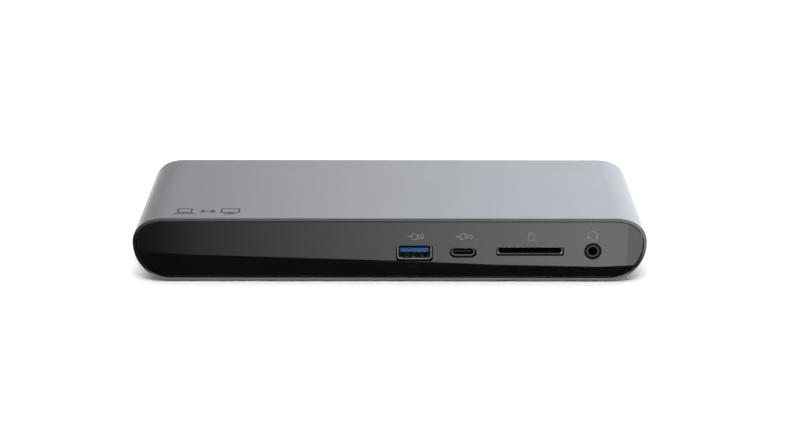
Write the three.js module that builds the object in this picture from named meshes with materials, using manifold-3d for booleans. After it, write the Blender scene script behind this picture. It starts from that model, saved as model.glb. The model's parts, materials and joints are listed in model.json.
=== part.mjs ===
// Laptop docking station. An extruded aluminium sleeve is closed by a gloss black front panel and
// a rear panel. A steel tray inside carries the main board, and the board carries every socket.
// Millimetres. +X is right and -Y is the front, seen from the front, and +Z is up. The origin is
// the middle of the footprint, on the desk.
import * as THREE from 'three';
import { mergeVertices } from 'three/addons/utils/BufferGeometryUtils.js';
import Module from 'manifold-3d';

const wasm = await Module();
wasm.setup();

// Driving dimensions: the case
const WIDTH = 200;
const DEPTH = 80;
const TOP_Z = 26;
const CASE_BOTTOM_Z = 0.6; // the pad lifts the sleeve this far off the desk
const WIDEST_Z = 15.7; // height at which the rounded sides stand out furthest
const UPPER_CORNER = { reach: 13, height: TOP_Z - WIDEST_Z, power: 2.25 };
const LOWER_CORNER = { reach: 14.2, height: WIDEST_Z - CASE_BOTTOM_Z, power: 1.95 };
const CORNER_STEPS = 10;
const WALL = 2; // sleeve wall
const RIM = 1.15; // what is left of the wall where it surrounds a panel
const RIM_DEPTH = 3.4; // how far in from each end the wall is thinned
const PANEL_THICKNESS = 2.4;
const PANEL_SETBACK = 0.4; // panel face behind the sleeve's edge
const PANEL_GAP = 0.35; // open line round each panel
const GASKET_THICKNESS = 0.4;
const GASKET_WIDTH = 1.6;

// Driving dimensions: pad and underside
const PAD_WIDTH = 172;
const PAD_DEPTH = 60;
const PAD_RADIUS = 9;
const PAD_RECESS = 0.6;
const PAD_CLEARANCE = 0.25;

// Driving dimensions: tray, board and their screws
const TRAY_WIDTH = 168;
const TRAY_DEPTH = 70;
const TRAY_Z = 2.9;
const TRAY_THICKNESS = 1;
const TRAY_LIP = { height: 2.6, fromCorner: 4 };
const TRAY_RADIUS = 3;
const BOARD_WIDTH = 180;
const BOARD_DEPTH = 70;
const BOARD_Z = 6.9;
const BOARD_THICKNESS = 1.6;
const BOARD_TOP_Z = BOARD_Z + BOARD_THICKNESS;
const BOARD_RADIUS = 2;
const FILM = { thickness: 0.3, inset: 3, radius: 2, clearance: 0.4 };
const BOSS_RADIUS = 2.8;
const BOSS_HEIGHT = 2.6;
const SCREW_RADIUS = 1.25;
const SCREW_CLEARANCE = 0.15;
const HEAD_RADIUS = 2.3;
const HEAD_CLEARANCE = 0.25;
const CASE_HEAD_HEIGHT = 1.1;
const BOARD_HEAD = { height: 1.5, taper: 0.5 };
const DRIVER_CROSS = { reach: 1.1, half: 0.2, depth: 0.6 };
const CASE_SCREW_X = 66;
const CASE_SCREW_Y = 22;
const BOARD_SCREW_X = 79;
const BOARD_SCREW_Y = 20;
const SEAT_GAP = 0.1; // between parts that rest on each other

// Driving dimensions: parts on the board. Sizes are width, depth and height. Places are x and y.
const CHIPS = [
  { name: 'dock_controller_chip', size: [13, 13, 1.1], place: [-28, -8] },
  { name: 'usb_hub_chip', size: [9, 9, 0.9], place: [-4, 6] },
  { name: 'display_chip', size: [8, 8, 0.9], place: [18, 8] },
  { name: 'audio_codec_chip', size: [6, 6, 0.9], place: [76, -12] },
  { name: 'card_reader_chip', size: [6, 6, 0.9], place: [32, -12] },
  { name: 'ethernet_transformer', size: [16, 10, 5.6], place: [-63, 8] },
];
const INDUCTORS = [
  { name: 'power_inductor_1', size: [10, 10, 4.2], place: [74, 12] },
  { name: 'power_inductor_2', size: [8, 8, 3.6], place: [58, 14] },
];
const CHIP_RADIUS = 0.3;
const CAPACITOR = { radius: 3.15, height: 7.6, places: [[-74, -14], [-64, -14]] };
const THERMAL_PAD = { side: 12, thickness: 0.8, radius: 0.5 };
const SPREADER = { x: [-54, -12], y: [-28, 2], base: 1.6, height: 4.4 };
const FIN = { width: 1, pitch: 4, fromEdge: 2 };
const SPREADER_LEG = { radius: 2.2, clearing: 2.6, places: [[-49.5, -25], [-16.5, -1]] };

// Driving dimensions: sockets. Heights are of the middle of each mouth.
const FRONT_SETBACK = 1.8; // front mouths behind the sleeve's edge
const REAR_SETBACK = 0.5; // rear mouths behind the sleeve's edge
const NOSE_SETBACK = 0.5; // round noses behind the sleeve's edge
const FIT = 0.1; // gap round a plastic insert in its shell
const SHEET = 0.3; // socket sheet metal
const LEG = { length: 2, share: 0.4 }; // the share is of the socket's depth in front of the leg
const USB_A = { width: 12.5, height: 5.12, depth: 14, z: 11.5, radius: 0.35 };
const USB_A_CUTOUT = { side: 0.5, below: 0.25, above: 0.45, radius: 0.8 };
const USB_A_TONGUE = { width: 11.1, thickness: 1.74, rise: 0.8, start: 0.7, root: 9.4 };
const USB_C = { width: 8.34, height: 2.56, depth: 9.6, z: 11.85 };
const USB_C_CUTOUT = { side: 0.7, below: 0.25, above: 0.5, radius: 2 };
const USB_C_SADDLE = { half: 3, front: 4, back: 7, sink: 0.1 };
const USB_C_TONGUE = { width: 6.7, thickness: 0.7, start: 0.9, root: 6.6 };
const DISPLAY = { width: 16.1, height: 4.9, depth: 17, z: 11.75, chamfer: 2.2 };
const DISPLAY_CUTOUT = { side: 0.55, below: 0.55, above: 0.55, radius: 0.6 };
const DISPLAY_TONGUE = { width: 13, thickness: 1.2, rise: 0.7, start: 0.9, root: 11 };
const ETHERNET = { width: 16, height: 13.3, depth: 21, z: 15.5, radius: 0.3 };
const ETHERNET_BAY = { width: 11.9, height: 7.2, start: 0.15, depth: 14.5, rise: 0.6 };
const LATCH_KEY = { width: 6.2, drop: 1.7 };
const ETHERNET_CUTOUT = { gap: 0.4, radius: 0.4 };
const POWER = { width: 9.4, height: 11, depth: 14.5, z: 14.4, nose: 4.1, bore: 3.2, boreDepth: 9.6 };
const POWER_PIN = { radius: 1.25, start: 0.9, end: 12 };
const AUDIO = { width: 8, height: 6.6, depth: 13, z: 12.6, nose: 3.2, bore: 1.8, boreDepth: 12 };
const AUDIO_RING = { outer: 2.6, depth: 0.8 };
const NOSE_LENGTH = 3.2; // round noses that stand through a panel
const AUDIO_NOSE_GAP = 0.12;
const POWER_NOSE_GAP = 0.25;

// Driving dimensions: card socket and its ejector, measured from the middle of the mouth
const CARD = { mouth: 24.2, height: 3, depth: 32, z: 12.4, floor: -0.95, neck: 3.2 };
const CARD_CUTOUT = { side: 0.5, below: 0.1, above: 0.35, radius: 0.3 };
const CARD_SHEET = 0.25;
const CARD_RAIL = 0.35;
const CARD_LEG = { width: 1, length: 2, places: [6, 26] };
const CARD_BASE = { start: 0.3, gap: 0.05 };
const CHANNEL_WIDTH = 3.4; // ejector's channel beside the card
const SLIDER = { front: 9.8, back: 21.8, footReach: 3, footLength: 1.6, clearance: 0.2 };
const SPRING = { radius: 0.8, front: 22.1, back: 30.5 };
const RAIL_END = 19.6;
const BACK_WALL = 30.8;

// Socket places along the case
const USB_A_FRONT_X = 9.65;
const USB_C_FRONT_X = 28.6;
const CARD_X = 54.7;
const AUDIO_X = 79.1;
const POWER_X = 72;
const USB_C_REAR_X = [55.5, 40];
const DISPLAY_X = 19.5;
const USB_A_REAR_X = [-2, -20, -38];
const ETHERNET_X = -62;

const PANEL_FACE_Y = DEPTH / 2 - PANEL_SETBACK;
const OVERRUN = 1; // how far a cut runs past the face it opens
const LAP = 0.1; // how far joined solids run into each other
const TRIM = 0.01; // keeps a rounded end just short of a half circle
const ROUND = 16; // sides of a round part
const ARC_STEPS = 1.5; // half the steps in each rounded corner of an outline

const station = new THREE.Group();

// Materials
function material(color, roughness, metalness) {
  return new THREE.MeshStandardMaterial({ color, roughness, metalness });
}
const aluminium = material(0xa7a8ad, 0.38, 1);
const glossBlack = material(0x0b0b0c, 0.05, 0);
const blackPlastic = material(0x161617, 0.5, 0);
const rubber = material(0x1f1f20, 0.9, 0);
const steel = material(0x9a9c9e, 0.35, 1);
const nickel = material(0xc4c5c7, 0.25, 1);
const bluePlastic = material(0x0d2f73, 0.45, 0);
const circuitGreen = material(0x0e3b26, 0.55, 0);
const chipBlack = material(0x1a1b1d, 0.6, 0);
const film = material(0x2b2b2d, 0.7, 0);
const thermalGrey = material(0x8d8f96, 0.85, 0);
const ferrite = material(0x3c3d40, 0.7, 0);

// Solids
function toSolid(geometry) {
  const bare = geometry.index ? geometry.toNonIndexed() : geometry.clone();
  bare.deleteAttribute('normal');
  bare.deleteAttribute('uv');
  const merged = mergeVertices(bare, 1e-4);
  return new wasm.Manifold(new wasm.Mesh({
    numProp: 3,
    vertProperties: new Float32Array(merged.attributes.position.array),
    triVerts: new Uint32Array(merged.index.array),
  }));
}

function toGeometry(solid) {
  const mesh = solid.getMesh();
  const geometry = new THREE.BufferGeometry();
  geometry.setAttribute('position', new THREE.BufferAttribute(new Float32Array(mesh.vertProperties), 3));
  geometry.setIndex(new THREE.BufferAttribute(new Uint32Array(mesh.triVerts), 1));
  geometry.computeVertexNormals();
  return geometry;
}

// A box between two corners.
function block(x0, x1, y0, y1, z0, z1) {
  const box = new THREE.BoxGeometry(x1 - x0, y1 - y0, z1 - z0);
  box.translate((x0 + x1) / 2, (y0 + y1) / 2, (z0 + z1) / 2);
  return toSolid(box);
}

// An outline seen from the front, carried along Y.
function alongY(shape, y0, y1) {
  const options = { depth: y1 - y0, bevelEnabled: false, curveSegments: ARC_STEPS };
  const bar = new THREE.ExtrudeGeometry(shape, options);
  bar.rotateX(Math.PI / 2);
  bar.translate(0, y1, 0);
  return toSolid(bar);
}

// An outline seen from above, carried along Z.
function alongZ(shape, z0, z1) {
  const options = { depth: z1 - z0, bevelEnabled: false, curveSegments: ARC_STEPS };
  const bar = new THREE.ExtrudeGeometry(shape, options);
  bar.translate(0, 0, z0);
  return toSolid(bar);
}

// A round bar along Y, or along Z.
function roundAlongY(radius, y0, y1, x = 0, z = 0) {
  const bar = new THREE.CylinderGeometry(radius, radius, y1 - y0, ROUND);
  bar.translate(x, (y0 + y1) / 2, z);
  return toSolid(bar);
}

function roundAlongZ(x, y, z0, z1, radiusBelow, radiusAbove = radiusBelow) {
  const bar = new THREE.CylinderGeometry(radiusAbove, radiusBelow, z1 - z0, ROUND);
  bar.rotateX(Math.PI / 2);
  bar.translate(x, y, (z0 + z1) / 2);
  return toSolid(bar);
}

function roundedRectangle(width, height, radius, x = 0, y = 0) {
  const shape = new THREE.Shape();
  const right = x + width / 2 - radius;
  const left = x - width / 2 + radius;
  const top = y + height / 2 - radius;
  const bottom = y - height / 2 + radius;
  shape.absarc(right, top, radius, 0, Math.PI / 2);
  shape.absarc(left, top, radius, Math.PI / 2, Math.PI);
  shape.absarc(left, bottom, radius, Math.PI, 1.5 * Math.PI);
  shape.absarc(right, bottom, radius, 1.5 * Math.PI, 2 * Math.PI);
  shape.closePath();
  return shape;
}

// The case's outline seen from the front, moved inwards by an inset. Each corner is a quarter of
// a superellipse, and the stretches between corners are straight.
function cornerPoint(corner, share, inset) {
  const angle = (share * Math.PI) / 2;
  const across = Math.cos(angle) ** (2 / corner.power);
  const up = Math.sin(angle) ** (2 / corner.power);
  const normal = new THREE.Vector2(
    across ** (corner.power - 1) / corner.reach,
    up ** (corner.power - 1) / corner.height,
  ).normalize();
  const x = WIDTH / 2 - corner.reach + corner.reach * across - inset * normal.x;
  const rise = corner.height * up - inset * normal.y;
  return [x, rise];
}

function caseOutline(inset) {
  const points = [];
  const add = (corner, step, side, direction) => {
    const [x, rise] = cornerPoint(corner, step / CORNER_STEPS, inset);
    points.push(new THREE.Vector2(side * x, WIDEST_Z + direction * rise));
  };
  for (let step = 0; step <= CORNER_STEPS; step += 1) add(UPPER_CORNER, step, 1, 1);
  for (let step = CORNER_STEPS; step >= 0; step -= 1) add(UPPER_CORNER, step, -1, 1);
  for (let step = 1; step <= CORNER_STEPS; step += 1) add(LOWER_CORNER, step, -1, -1);
  for (let step = CORNER_STEPS; step >= 1; step -= 1) add(LOWER_CORNER, step, 1, -1);
  return new THREE.Shape(points);
}

function addPiece(parent, name, finish, solid) {
  const mesh = new THREE.Mesh(toGeometry(solid), finish);
  mesh.name = name;
  parent.add(mesh);
  return mesh;
}

function fourCorners(x, y) {
  return [[-x, -y], [x, -y], [-x, y], [x, y]];
}
const caseScrewPlaces = fourCorners(CASE_SCREW_X, CASE_SCREW_Y);
const boardScrewPlaces = fourCorners(BOARD_SCREW_X, BOARD_SCREW_Y);

// Sleeve: a tube of constant wall, thinned at both ends for the panels, with a shallow recess
// underneath for the pad and four countersunk screw holes inside that recess.
function sleeve() {
  const end = DEPTH / 2;
  let body = alongY(caseOutline(0), -end, end);
  body = body.subtract(alongY(caseOutline(WALL), -end - OVERRUN, end + OVERRUN));
  body = body.subtract(alongY(caseOutline(RIM), -end - OVERRUN, -end + RIM_DEPTH));
  body = body.subtract(alongY(caseOutline(RIM), end - RIM_DEPTH, end + OVERRUN));
  const recessTop = CASE_BOTTOM_Z + PAD_RECESS;
  const recess = roundedRectangle(PAD_WIDTH, PAD_DEPTH, PAD_RADIUS);
  body = body.subtract(alongZ(recess, CASE_BOTTOM_Z - OVERRUN, recessTop));
  const wallTop = CASE_BOTTOM_Z + WALL;
  const hole = SCREW_RADIUS + SCREW_CLEARANCE;
  for (const [x, y] of caseScrewPlaces) {
    body = body.subtract(roundAlongZ(x, y, recessTop - OVERRUN, wallTop + OVERRUN, hole));
    body = body.subtract(
      roundAlongZ(x, y, recessTop - TRIM, wallTop - 2 * LAP, HEAD_RADIUS + HEAD_CLEARANCE, hole),
    );
  }
  addPiece(station, 'sleeve', aluminium, body);
}

// Pad: one rubber sheet in the recess, which the station stands on and which hides the screws.
function footPad() {
  const outline = roundedRectangle(
    PAD_WIDTH - 2 * PAD_CLEARANCE,
    PAD_DEPTH - 2 * PAD_CLEARANCE,
    PAD_RADIUS - PAD_CLEARANCE,
  );
  addPiece(station, 'foot_pad', rubber, alongZ(outline, 0, CASE_BOTTOM_Z + PAD_RECESS - SEAT_GAP));
}

// The cross in a screw's head, between two heights.
function driverCross(x, y, z0, z1) {
  const { reach, half } = DRIVER_CROSS;
  return block(x - reach, x + reach, y - half, y + half, z0, z1)
    .add(block(x - half, x + half, y - reach, y + reach, z0, z1));
}

// Countersunk screws, up through the sleeve into the tray.
function caseScrews() {
  const headZ = CASE_BOTTOM_Z + PAD_RECESS + SEAT_GAP / 2;
  const headTop = headZ + CASE_HEAD_HEIGHT;
  const tip = TRAY_Z + TRAY_THICKNESS + BOSS_HEIGHT - 2 * SEAT_GAP;
  caseScrewPlaces.forEach(([x, y], index) => {
    const head = roundAlongZ(x, y, headZ, headTop, HEAD_RADIUS, SCREW_RADIUS);
    const shank = roundAlongZ(x, y, headTop - LAP, tip, SCREW_RADIUS);
    const cross = driverCross(x, y, headZ - OVERRUN, headZ + DRIVER_CROSS.depth);
    addPiece(station, `case_screw_${index + 1}`, steel, head.add(shank).subtract(cross));
  });
}

// Tray: sheet steel with turned-up ends, four bosses for the case screws and four posts that the
// board stands on.
function chassisTray() {
  const top = TRAY_Z + TRAY_THICKNESS;
  const halfWidth = TRAY_WIDTH / 2;
  const halfDepth = TRAY_DEPTH / 2;
  let tray = alongZ(roundedRectangle(TRAY_WIDTH, TRAY_DEPTH, TRAY_RADIUS), TRAY_Z, top);
  for (const side of [-1, 1]) {
    const outer = side * halfWidth;
    const inner = side * (halfWidth - TRAY_THICKNESS);
    const lipEnd = halfDepth - TRAY_LIP.fromCorner;
    const lip = block(Math.min(outer, inner), Math.max(outer, inner), -lipEnd, lipEnd,
      TRAY_Z, top + TRAY_LIP.height);
    tray = tray.add(lip);
  }
  for (const [x, y] of caseScrewPlaces) {
    tray = tray.add(roundAlongZ(x, y, TRAY_Z, top + BOSS_HEIGHT, BOSS_RADIUS));
  }
  for (const [x, y] of boardScrewPlaces) {
    tray = tray.add(roundAlongZ(x, y, TRAY_Z, BOARD_Z - SEAT_GAP, BOSS_RADIUS));
  }
  const thread = SCREW_RADIUS + SCREW_CLEARANCE;
  for (const [x, y] of [...caseScrewPlaces, ...boardScrewPlaces]) {
    tray = tray.subtract(roundAlongZ(x, y, TRAY_Z - OVERRUN, BOARD_Z + OVERRUN, thread));
  }
  addPiece(station, 'chassis_tray', steel, tray);
}

// Film between the tray and the underside of the board.
function insulatorSheet() {
  const bottom = TRAY_Z + TRAY_THICKNESS + SEAT_GAP;
  const outline = roundedRectangle(TRAY_WIDTH - 2 * FILM.inset, TRAY_DEPTH - 2 * FILM.inset, FILM.radius);
  let sheet = alongZ(outline, bottom, bottom + FILM.thickness);
  for (const [x, y] of [...caseScrewPlaces, ...boardScrewPlaces]) {
    sheet = sheet.subtract(
      roundAlongZ(x, y, bottom - OVERRUN, bottom + OVERRUN, BOSS_RADIUS + FILM.clearance),
    );
  }
  addPiece(station, 'insulator_sheet', film, sheet);
}

function mainBoard() {
  let board = alongZ(roundedRectangle(BOARD_WIDTH, BOARD_DEPTH, BOARD_RADIUS), BOARD_Z, BOARD_TOP_Z);
  for (const [x, y] of boardScrewPlaces) {
    board = board.subtract(
      roundAlongZ(x, y, BOARD_Z - OVERRUN, BOARD_TOP_Z + OVERRUN, SCREW_RADIUS + SCREW_CLEARANCE),
    );
  }
  addPiece(station, 'main_board', circuitGreen, board);
}

// Pan-head screws, down through the board into the tray's posts.
function boardScrews() {
  const seat = BOARD_TOP_Z + SEAT_GAP;
  boardScrewPlaces.forEach(([x, y], index) => {
    const headTop = seat + BOARD_HEAD.height;
    const head = roundAlongZ(x, y, seat, headTop, HEAD_RADIUS, HEAD_RADIUS - BOARD_HEAD.taper);
    const shank = roundAlongZ(x, y, TRAY_Z + TRAY_THICKNESS, seat + LAP, SCREW_RADIUS);
    const cross = driverCross(x, y, headTop - DRIVER_CROSS.depth, headTop + OVERRUN);
    addPiece(station, `board_screw_${index + 1}`, steel, head.add(shank).subtract(cross));
  });
}

// Parts soldered to the top of the board.
function boardPart({ name, size, place }, finish) {
  const [width, depth, height] = size;
  const bottom = BOARD_TOP_Z + SEAT_GAP;
  const outline = roundedRectangle(width, depth, CHIP_RADIUS, ...place);
  addPiece(station, name, finish, alongZ(outline, bottom, bottom + height));
}

function boardParts() {
  CHIPS.forEach((part) => boardPart(part, chipBlack));
  INDUCTORS.forEach((part) => boardPart(part, ferrite));
  const bottom = BOARD_TOP_Z + SEAT_GAP;
  CAPACITOR.places.forEach(([x, y], index) => {
    const can = roundAlongZ(x, y, bottom, bottom + CAPACITOR.height, CAPACITOR.radius);
    addPiece(station, `power_capacitor_${index + 1}`, nickel, can);
  });
}

// Finned aluminium plate over the controller, with a soft pad between them.
function heatSpreader() {
  const controller = CHIPS[0];
  const padZ = BOARD_TOP_Z + SEAT_GAP + controller.size[2] + SEAT_GAP;
  const padTop = padZ + THERMAL_PAD.thickness;
  const { side, radius } = THERMAL_PAD;
  const padOutline = roundedRectangle(side, side, radius, ...controller.place);
  addPiece(station, 'thermal_pad', thermalGrey, alongZ(padOutline, padZ, padTop));
  const plateZ = padTop + SEAT_GAP;
  const finTop = plateZ + SPREADER.height;
  let plate = block(...SPREADER.x, ...SPREADER.y, plateZ, plateZ + SPREADER.base);
  for (let x = SPREADER.x[0] + FIN.fromEdge; x < SPREADER.x[1] - FIN.width; x += FIN.pitch) {
    plate = plate.add(block(x, x + FIN.width, ...SPREADER.y, plateZ, finTop));
  }
  for (const [x, y] of SPREADER_LEG.places) {
    const half = SPREADER_LEG.clearing;
    plate = plate.subtract(
      block(x - half, x + half, y - half, y + half, plateZ + SPREADER.base, finTop + OVERRUN),
    );
    plate = plate.add(roundAlongZ(x, y, BOARD_TOP_Z + SEAT_GAP, plateZ + LAP, SPREADER_LEG.radius));
  }
  addPiece(station, 'heat_spreader', aluminium, plate);
}

// Panels. Each fills the sleeve's end and has one opening for each socket.
function panelBlank(y0, y1) {
  return alongY(caseOutline(RIM + PANEL_GAP), y0, y1);
}

function cutouts(shapes, y0, y1) {
  return shapes.map((shape) => alongY(shape, y0 - OVERRUN, y1 + OVERRUN));
}

// Opening in a panel for a mouth in a sheet-metal shell. Its clearances at the sides, below and above differ.
function mouthCutout(mouth, clearance, x, sheet = SHEET) {
  const width = mouth.width + 2 * (sheet + clearance.side);
  const height = mouth.height + 2 * sheet + clearance.below + clearance.above;
  const z = mouth.z + (clearance.above - clearance.below) / 2;
  return roundedRectangle(width, height, Math.min(clearance.radius, height / 2 - TRIM), x, z);
}

function usbACutout(x) {
  return mouthCutout(USB_A, USB_A_CUTOUT, x);
}

function usbCCutout(x) {
  return mouthCutout(USB_C, USB_C_CUTOUT, x);
}

function roundCutout(radius, x, z) {
  return roundedRectangle(2 * radius, 2 * radius, radius - TRIM, x, z);
}

function frontPanel() {
  const y0 = -PANEL_FACE_Y;
  const y1 = y0 + PANEL_THICKNESS;
  const cardMouth = { width: CARD.mouth + 2 * CARD_RAIL, height: CARD.height - 2 * CARD_SHEET, z: CARD.z };
  const shapes = [
    usbACutout(USB_A_FRONT_X),
    usbCCutout(USB_C_FRONT_X),
    mouthCutout(cardMouth, CARD_CUTOUT, CARD_X, CARD_SHEET),
    roundCutout(AUDIO.nose + AUDIO_NOSE_GAP, AUDIO_X, AUDIO.z),
  ];
  let panel = panelBlank(y0, y1);
  for (const cut of cutouts(shapes, y0, y1)) panel = panel.subtract(cut);
  addPiece(station, 'front_panel', glossBlack, panel);
}

function rearPanel() {
  const y1 = PANEL_FACE_Y;
  const y0 = y1 - PANEL_THICKNESS;
  const ethernetGap = 2 * ETHERNET_CUTOUT.gap;
  const shapes = [
    ...USB_A_REAR_X.map(usbACutout),
    ...USB_C_REAR_X.map(usbCCutout),
    mouthCutout(DISPLAY, DISPLAY_CUTOUT, DISPLAY_X),
    roundedRectangle(ETHERNET.width + ethernetGap, ETHERNET.height + ethernetGap, ETHERNET_CUTOUT.radius,
      ETHERNET_X, ETHERNET.z),
    roundCutout(POWER.nose + POWER_NOSE_GAP, POWER_X, POWER.z),
  ];
  let panel = panelBlank(y0, y1);
  for (const cut of cutouts(shapes, y0, y1)) panel = panel.subtract(cut);
  addPiece(station, 'rear_panel', blackPlastic, panel);
}

// Adhesive gaskets between each panel and the step in the sleeve.
function panelGaskets() {
  const y0 = -PANEL_FACE_Y + PANEL_THICKNESS + SEAT_GAP;
  const y1 = y0 + GASKET_THICKNESS;
  const ring = alongY(caseOutline(RIM + PANEL_GAP), y0, y1)
    .subtract(alongY(caseOutline(RIM + PANEL_GAP + GASKET_WIDTH), y0 - OVERRUN, y1 + OVERRUN));
  addPiece(station, 'front_gasket', rubber, ring);
  const rearGroup = new THREE.Group();
  rearGroup.rotation.z = Math.PI;
  station.add(rearGroup);
  addPiece(rearGroup, 'rear_gasket', rubber, ring);
}

// Sockets are drawn with the mouth at y = 0, facing -Y, and are turned round for the rear.
function frontSocket(x, z, setback = FRONT_SETBACK) {
  const socket = new THREE.Group();
  socket.position.set(x, setback - DEPTH / 2, z);
  station.add(socket);
  return socket;
}

function rearSocket(x, z, setback = REAR_SETBACK) {
  const socket = new THREE.Group();
  socket.position.set(x, DEPTH / 2 - setback, z);
  socket.rotation.z = Math.PI;
  station.add(socket);
  return socket;
}

// Sheet-metal tube round a mouth. It has two legs down to the board unless it lies right on it.
function shellTube(outline, mouth, depth, halfWidth, halfHeight, z) {
  const tube = alongY(outline, 0, depth).subtract(alongY(mouth, -OVERRUN, depth + OVERRUN));
  const foot = BOARD_TOP_Z + SEAT_GAP - z;
  if (foot > -halfHeight - SHEET) return tube;
  const legY = depth * LEG.share;
  const left = block(-halfWidth, -halfWidth + SHEET, legY, legY + LEG.length, foot, 0);
  const right = block(halfWidth - SHEET, halfWidth, legY, legY + LEG.length, foot, 0);
  return tube.add(left).add(right);
}

function usbASocket(socket, prefix) {
  const outer = roundedRectangle(USB_A.width + 2 * SHEET, USB_A.height + 2 * SHEET, USB_A.radius + SHEET);
  const mouth = roundedRectangle(USB_A.width, USB_A.height, USB_A.radius);
  const halfWidth = USB_A.width / 2 + SHEET;
  const halfHeight = USB_A.height / 2 + SHEET;
  const shell = shellTube(outer, mouth, USB_A.depth, halfWidth, halfHeight, USB_A.z);
  addPiece(socket, `${prefix}_shell`, nickel, shell);
  const { width, thickness, rise, start, root } = USB_A_TONGUE;
  const filling = roundedRectangle(USB_A.width - 2 * FIT, USB_A.height - 2 * FIT, USB_A.radius - FIT / 2);
  const base = alongY(filling, root, USB_A.depth - FIT);
  const tongue = block(-width / 2, width / 2, start, root + LAP, rise - thickness / 2, rise + thickness / 2);
  addPiece(socket, `${prefix}_tongue`, bluePlastic, base.add(tongue));
}

function usbCSocket(socket, prefix) {
  const height = USB_C.height + 2 * SHEET;
  const outer = roundedRectangle(USB_C.width + 2 * SHEET, height, height / 2 - TRIM);
  const mouth = roundedRectangle(USB_C.width, USB_C.height, USB_C.height / 2 - TRIM);
  const shell = alongY(outer, 0, USB_C.depth).subtract(alongY(mouth, -OVERRUN, USB_C.depth + OVERRUN));
  const foot = BOARD_TOP_Z + SEAT_GAP - USB_C.z;
  const { half, front, back, sink } = USB_C_SADDLE;
  const saddle = block(-half, half, front, back, foot, -USB_C.height / 2 - sink);
  addPiece(socket, `${prefix}_shell`, nickel, shell.add(saddle));
  const { width, thickness, start, root } = USB_C_TONGUE;
  const baseHeight = USB_C.height - 2 * FIT;
  const filling = roundedRectangle(USB_C.width - 2 * FIT, baseHeight, baseHeight / 2 - TRIM);
  const base = alongY(filling, root, USB_C.depth - FIT);
  const tongue = block(-width / 2, width / 2, start, root + LAP, -thickness / 2, thickness / 2);
  addPiece(socket, `${prefix}_tongue`, blackPlastic, base.add(tongue));
}

// Rectangle with one lower corner cut off at 45 degrees.
function keyedRectangle(width, height, chamfer) {
  const x = width / 2;
  const y = height / 2;
  return new THREE.Shape([
    new THREE.Vector2(x, y),
    new THREE.Vector2(-x, y),
    new THREE.Vector2(-x, -y),
    new THREE.Vector2(x - chamfer, -y),
    new THREE.Vector2(x, -y + chamfer),
  ]);
}

function displaySocket(socket) {
  const { width, height, depth, chamfer, z } = DISPLAY;
  const outer = keyedRectangle(width + 2 * SHEET, height + 2 * SHEET, chamfer);
  const mouth = keyedRectangle(width, height, chamfer - SHEET / 2);
  const shell = shellTube(outer, mouth, depth, width / 2 + SHEET, height / 2 + SHEET, z);
  addPiece(socket, 'display_socket_shell', nickel, shell);
  const tongue = DISPLAY_TONGUE;
  const base = alongY(keyedRectangle(width - 2 * FIT, height - 2 * FIT, chamfer), tongue.root, depth - FIT);
  const plate = block(-tongue.width / 2, tongue.width / 2, tongue.start, tongue.root + LAP,
    tongue.rise - tongue.thickness / 2, tongue.rise + tongue.thickness / 2);
  addPiece(socket, 'display_socket_tongue', blackPlastic, base.add(plate));
}

// Network socket: a shielded box round a moulded insert with the plug's bay and latch key.
function ethernetSocket(socket) {
  const { width, height, depth } = ETHERNET;
  const hollow = roundedRectangle(width - 2 * SHEET, height - 2 * SHEET, ETHERNET.radius - SHEET + FIT);
  const shell = alongY(roundedRectangle(width, height, ETHERNET.radius), 0, depth)
    .subtract(alongY(hollow, -OVERRUN, depth + OVERRUN));
  addPiece(socket, 'ethernet_socket_shell', nickel, shell);
  const bay = ETHERNET_BAY;
  const inset = SHEET + FIT;
  let insert = alongY(roundedRectangle(width - 2 * inset, height - 2 * inset, FIT), bay.start, depth - FIT);
  const bayBottom = bay.rise - bay.height / 2;
  insert = insert.subtract(block(-bay.width / 2, bay.width / 2, -OVERRUN, bay.depth, bayBottom,
    bay.rise + bay.height / 2));
  insert = insert.subtract(block(-LATCH_KEY.width / 2, LATCH_KEY.width / 2, -OVERRUN, bay.depth,
    bayBottom - LATCH_KEY.drop, bayBottom + LAP));
  addPiece(socket, 'ethernet_socket_insert', blackPlastic, insert);
}

// Power inlet: a barrel socket with a centre pin.
function powerSocket(socket) {
  const { width, height, depth, nose, bore, boreDepth } = POWER;
  const backHole = POWER_PIN.radius + FIT;
  let body = block(-width / 2, width / 2, NOSE_LENGTH, depth, -height / 2, height / 2);
  body = body.add(roundAlongY(nose, 0, NOSE_LENGTH + LAP));
  body = body.subtract(roundAlongY(bore, -OVERRUN, boreDepth));
  body = body.subtract(roundAlongY(backHole, boreDepth - LAP, POWER_PIN.end + FIT));
  addPiece(socket, 'power_socket_body', blackPlastic, body);
  addPiece(socket, 'power_socket_pin', nickel, roundAlongY(POWER_PIN.radius, POWER_PIN.start, POWER_PIN.end));
}

// Headphone socket: a moulded body with a round nose and a metal ring let into its mouth.
function audioSocket(socket) {
  const { width, height, depth, nose, bore, boreDepth } = AUDIO;
  let body = block(-width / 2, width / 2, NOSE_LENGTH, depth, -height / 2, height / 2);
  body = body.add(roundAlongY(nose, 0, NOSE_LENGTH + LAP));
  body = body.subtract(roundAlongY(bore, -OVERRUN, boreDepth));
  body = body.subtract(roundAlongY(AUDIO_RING.outer + FIT, -OVERRUN, AUDIO_RING.depth));
  addPiece(socket, 'audio_socket_body', blackPlastic, body);
  const ring = roundAlongY(AUDIO_RING.outer, 0, AUDIO_RING.depth - FIT)
    .subtract(roundAlongY(bore, -OVERRUN, AUDIO_RING.depth));
  addPiece(socket, 'audio_socket_ring', steel, ring);
}

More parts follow.
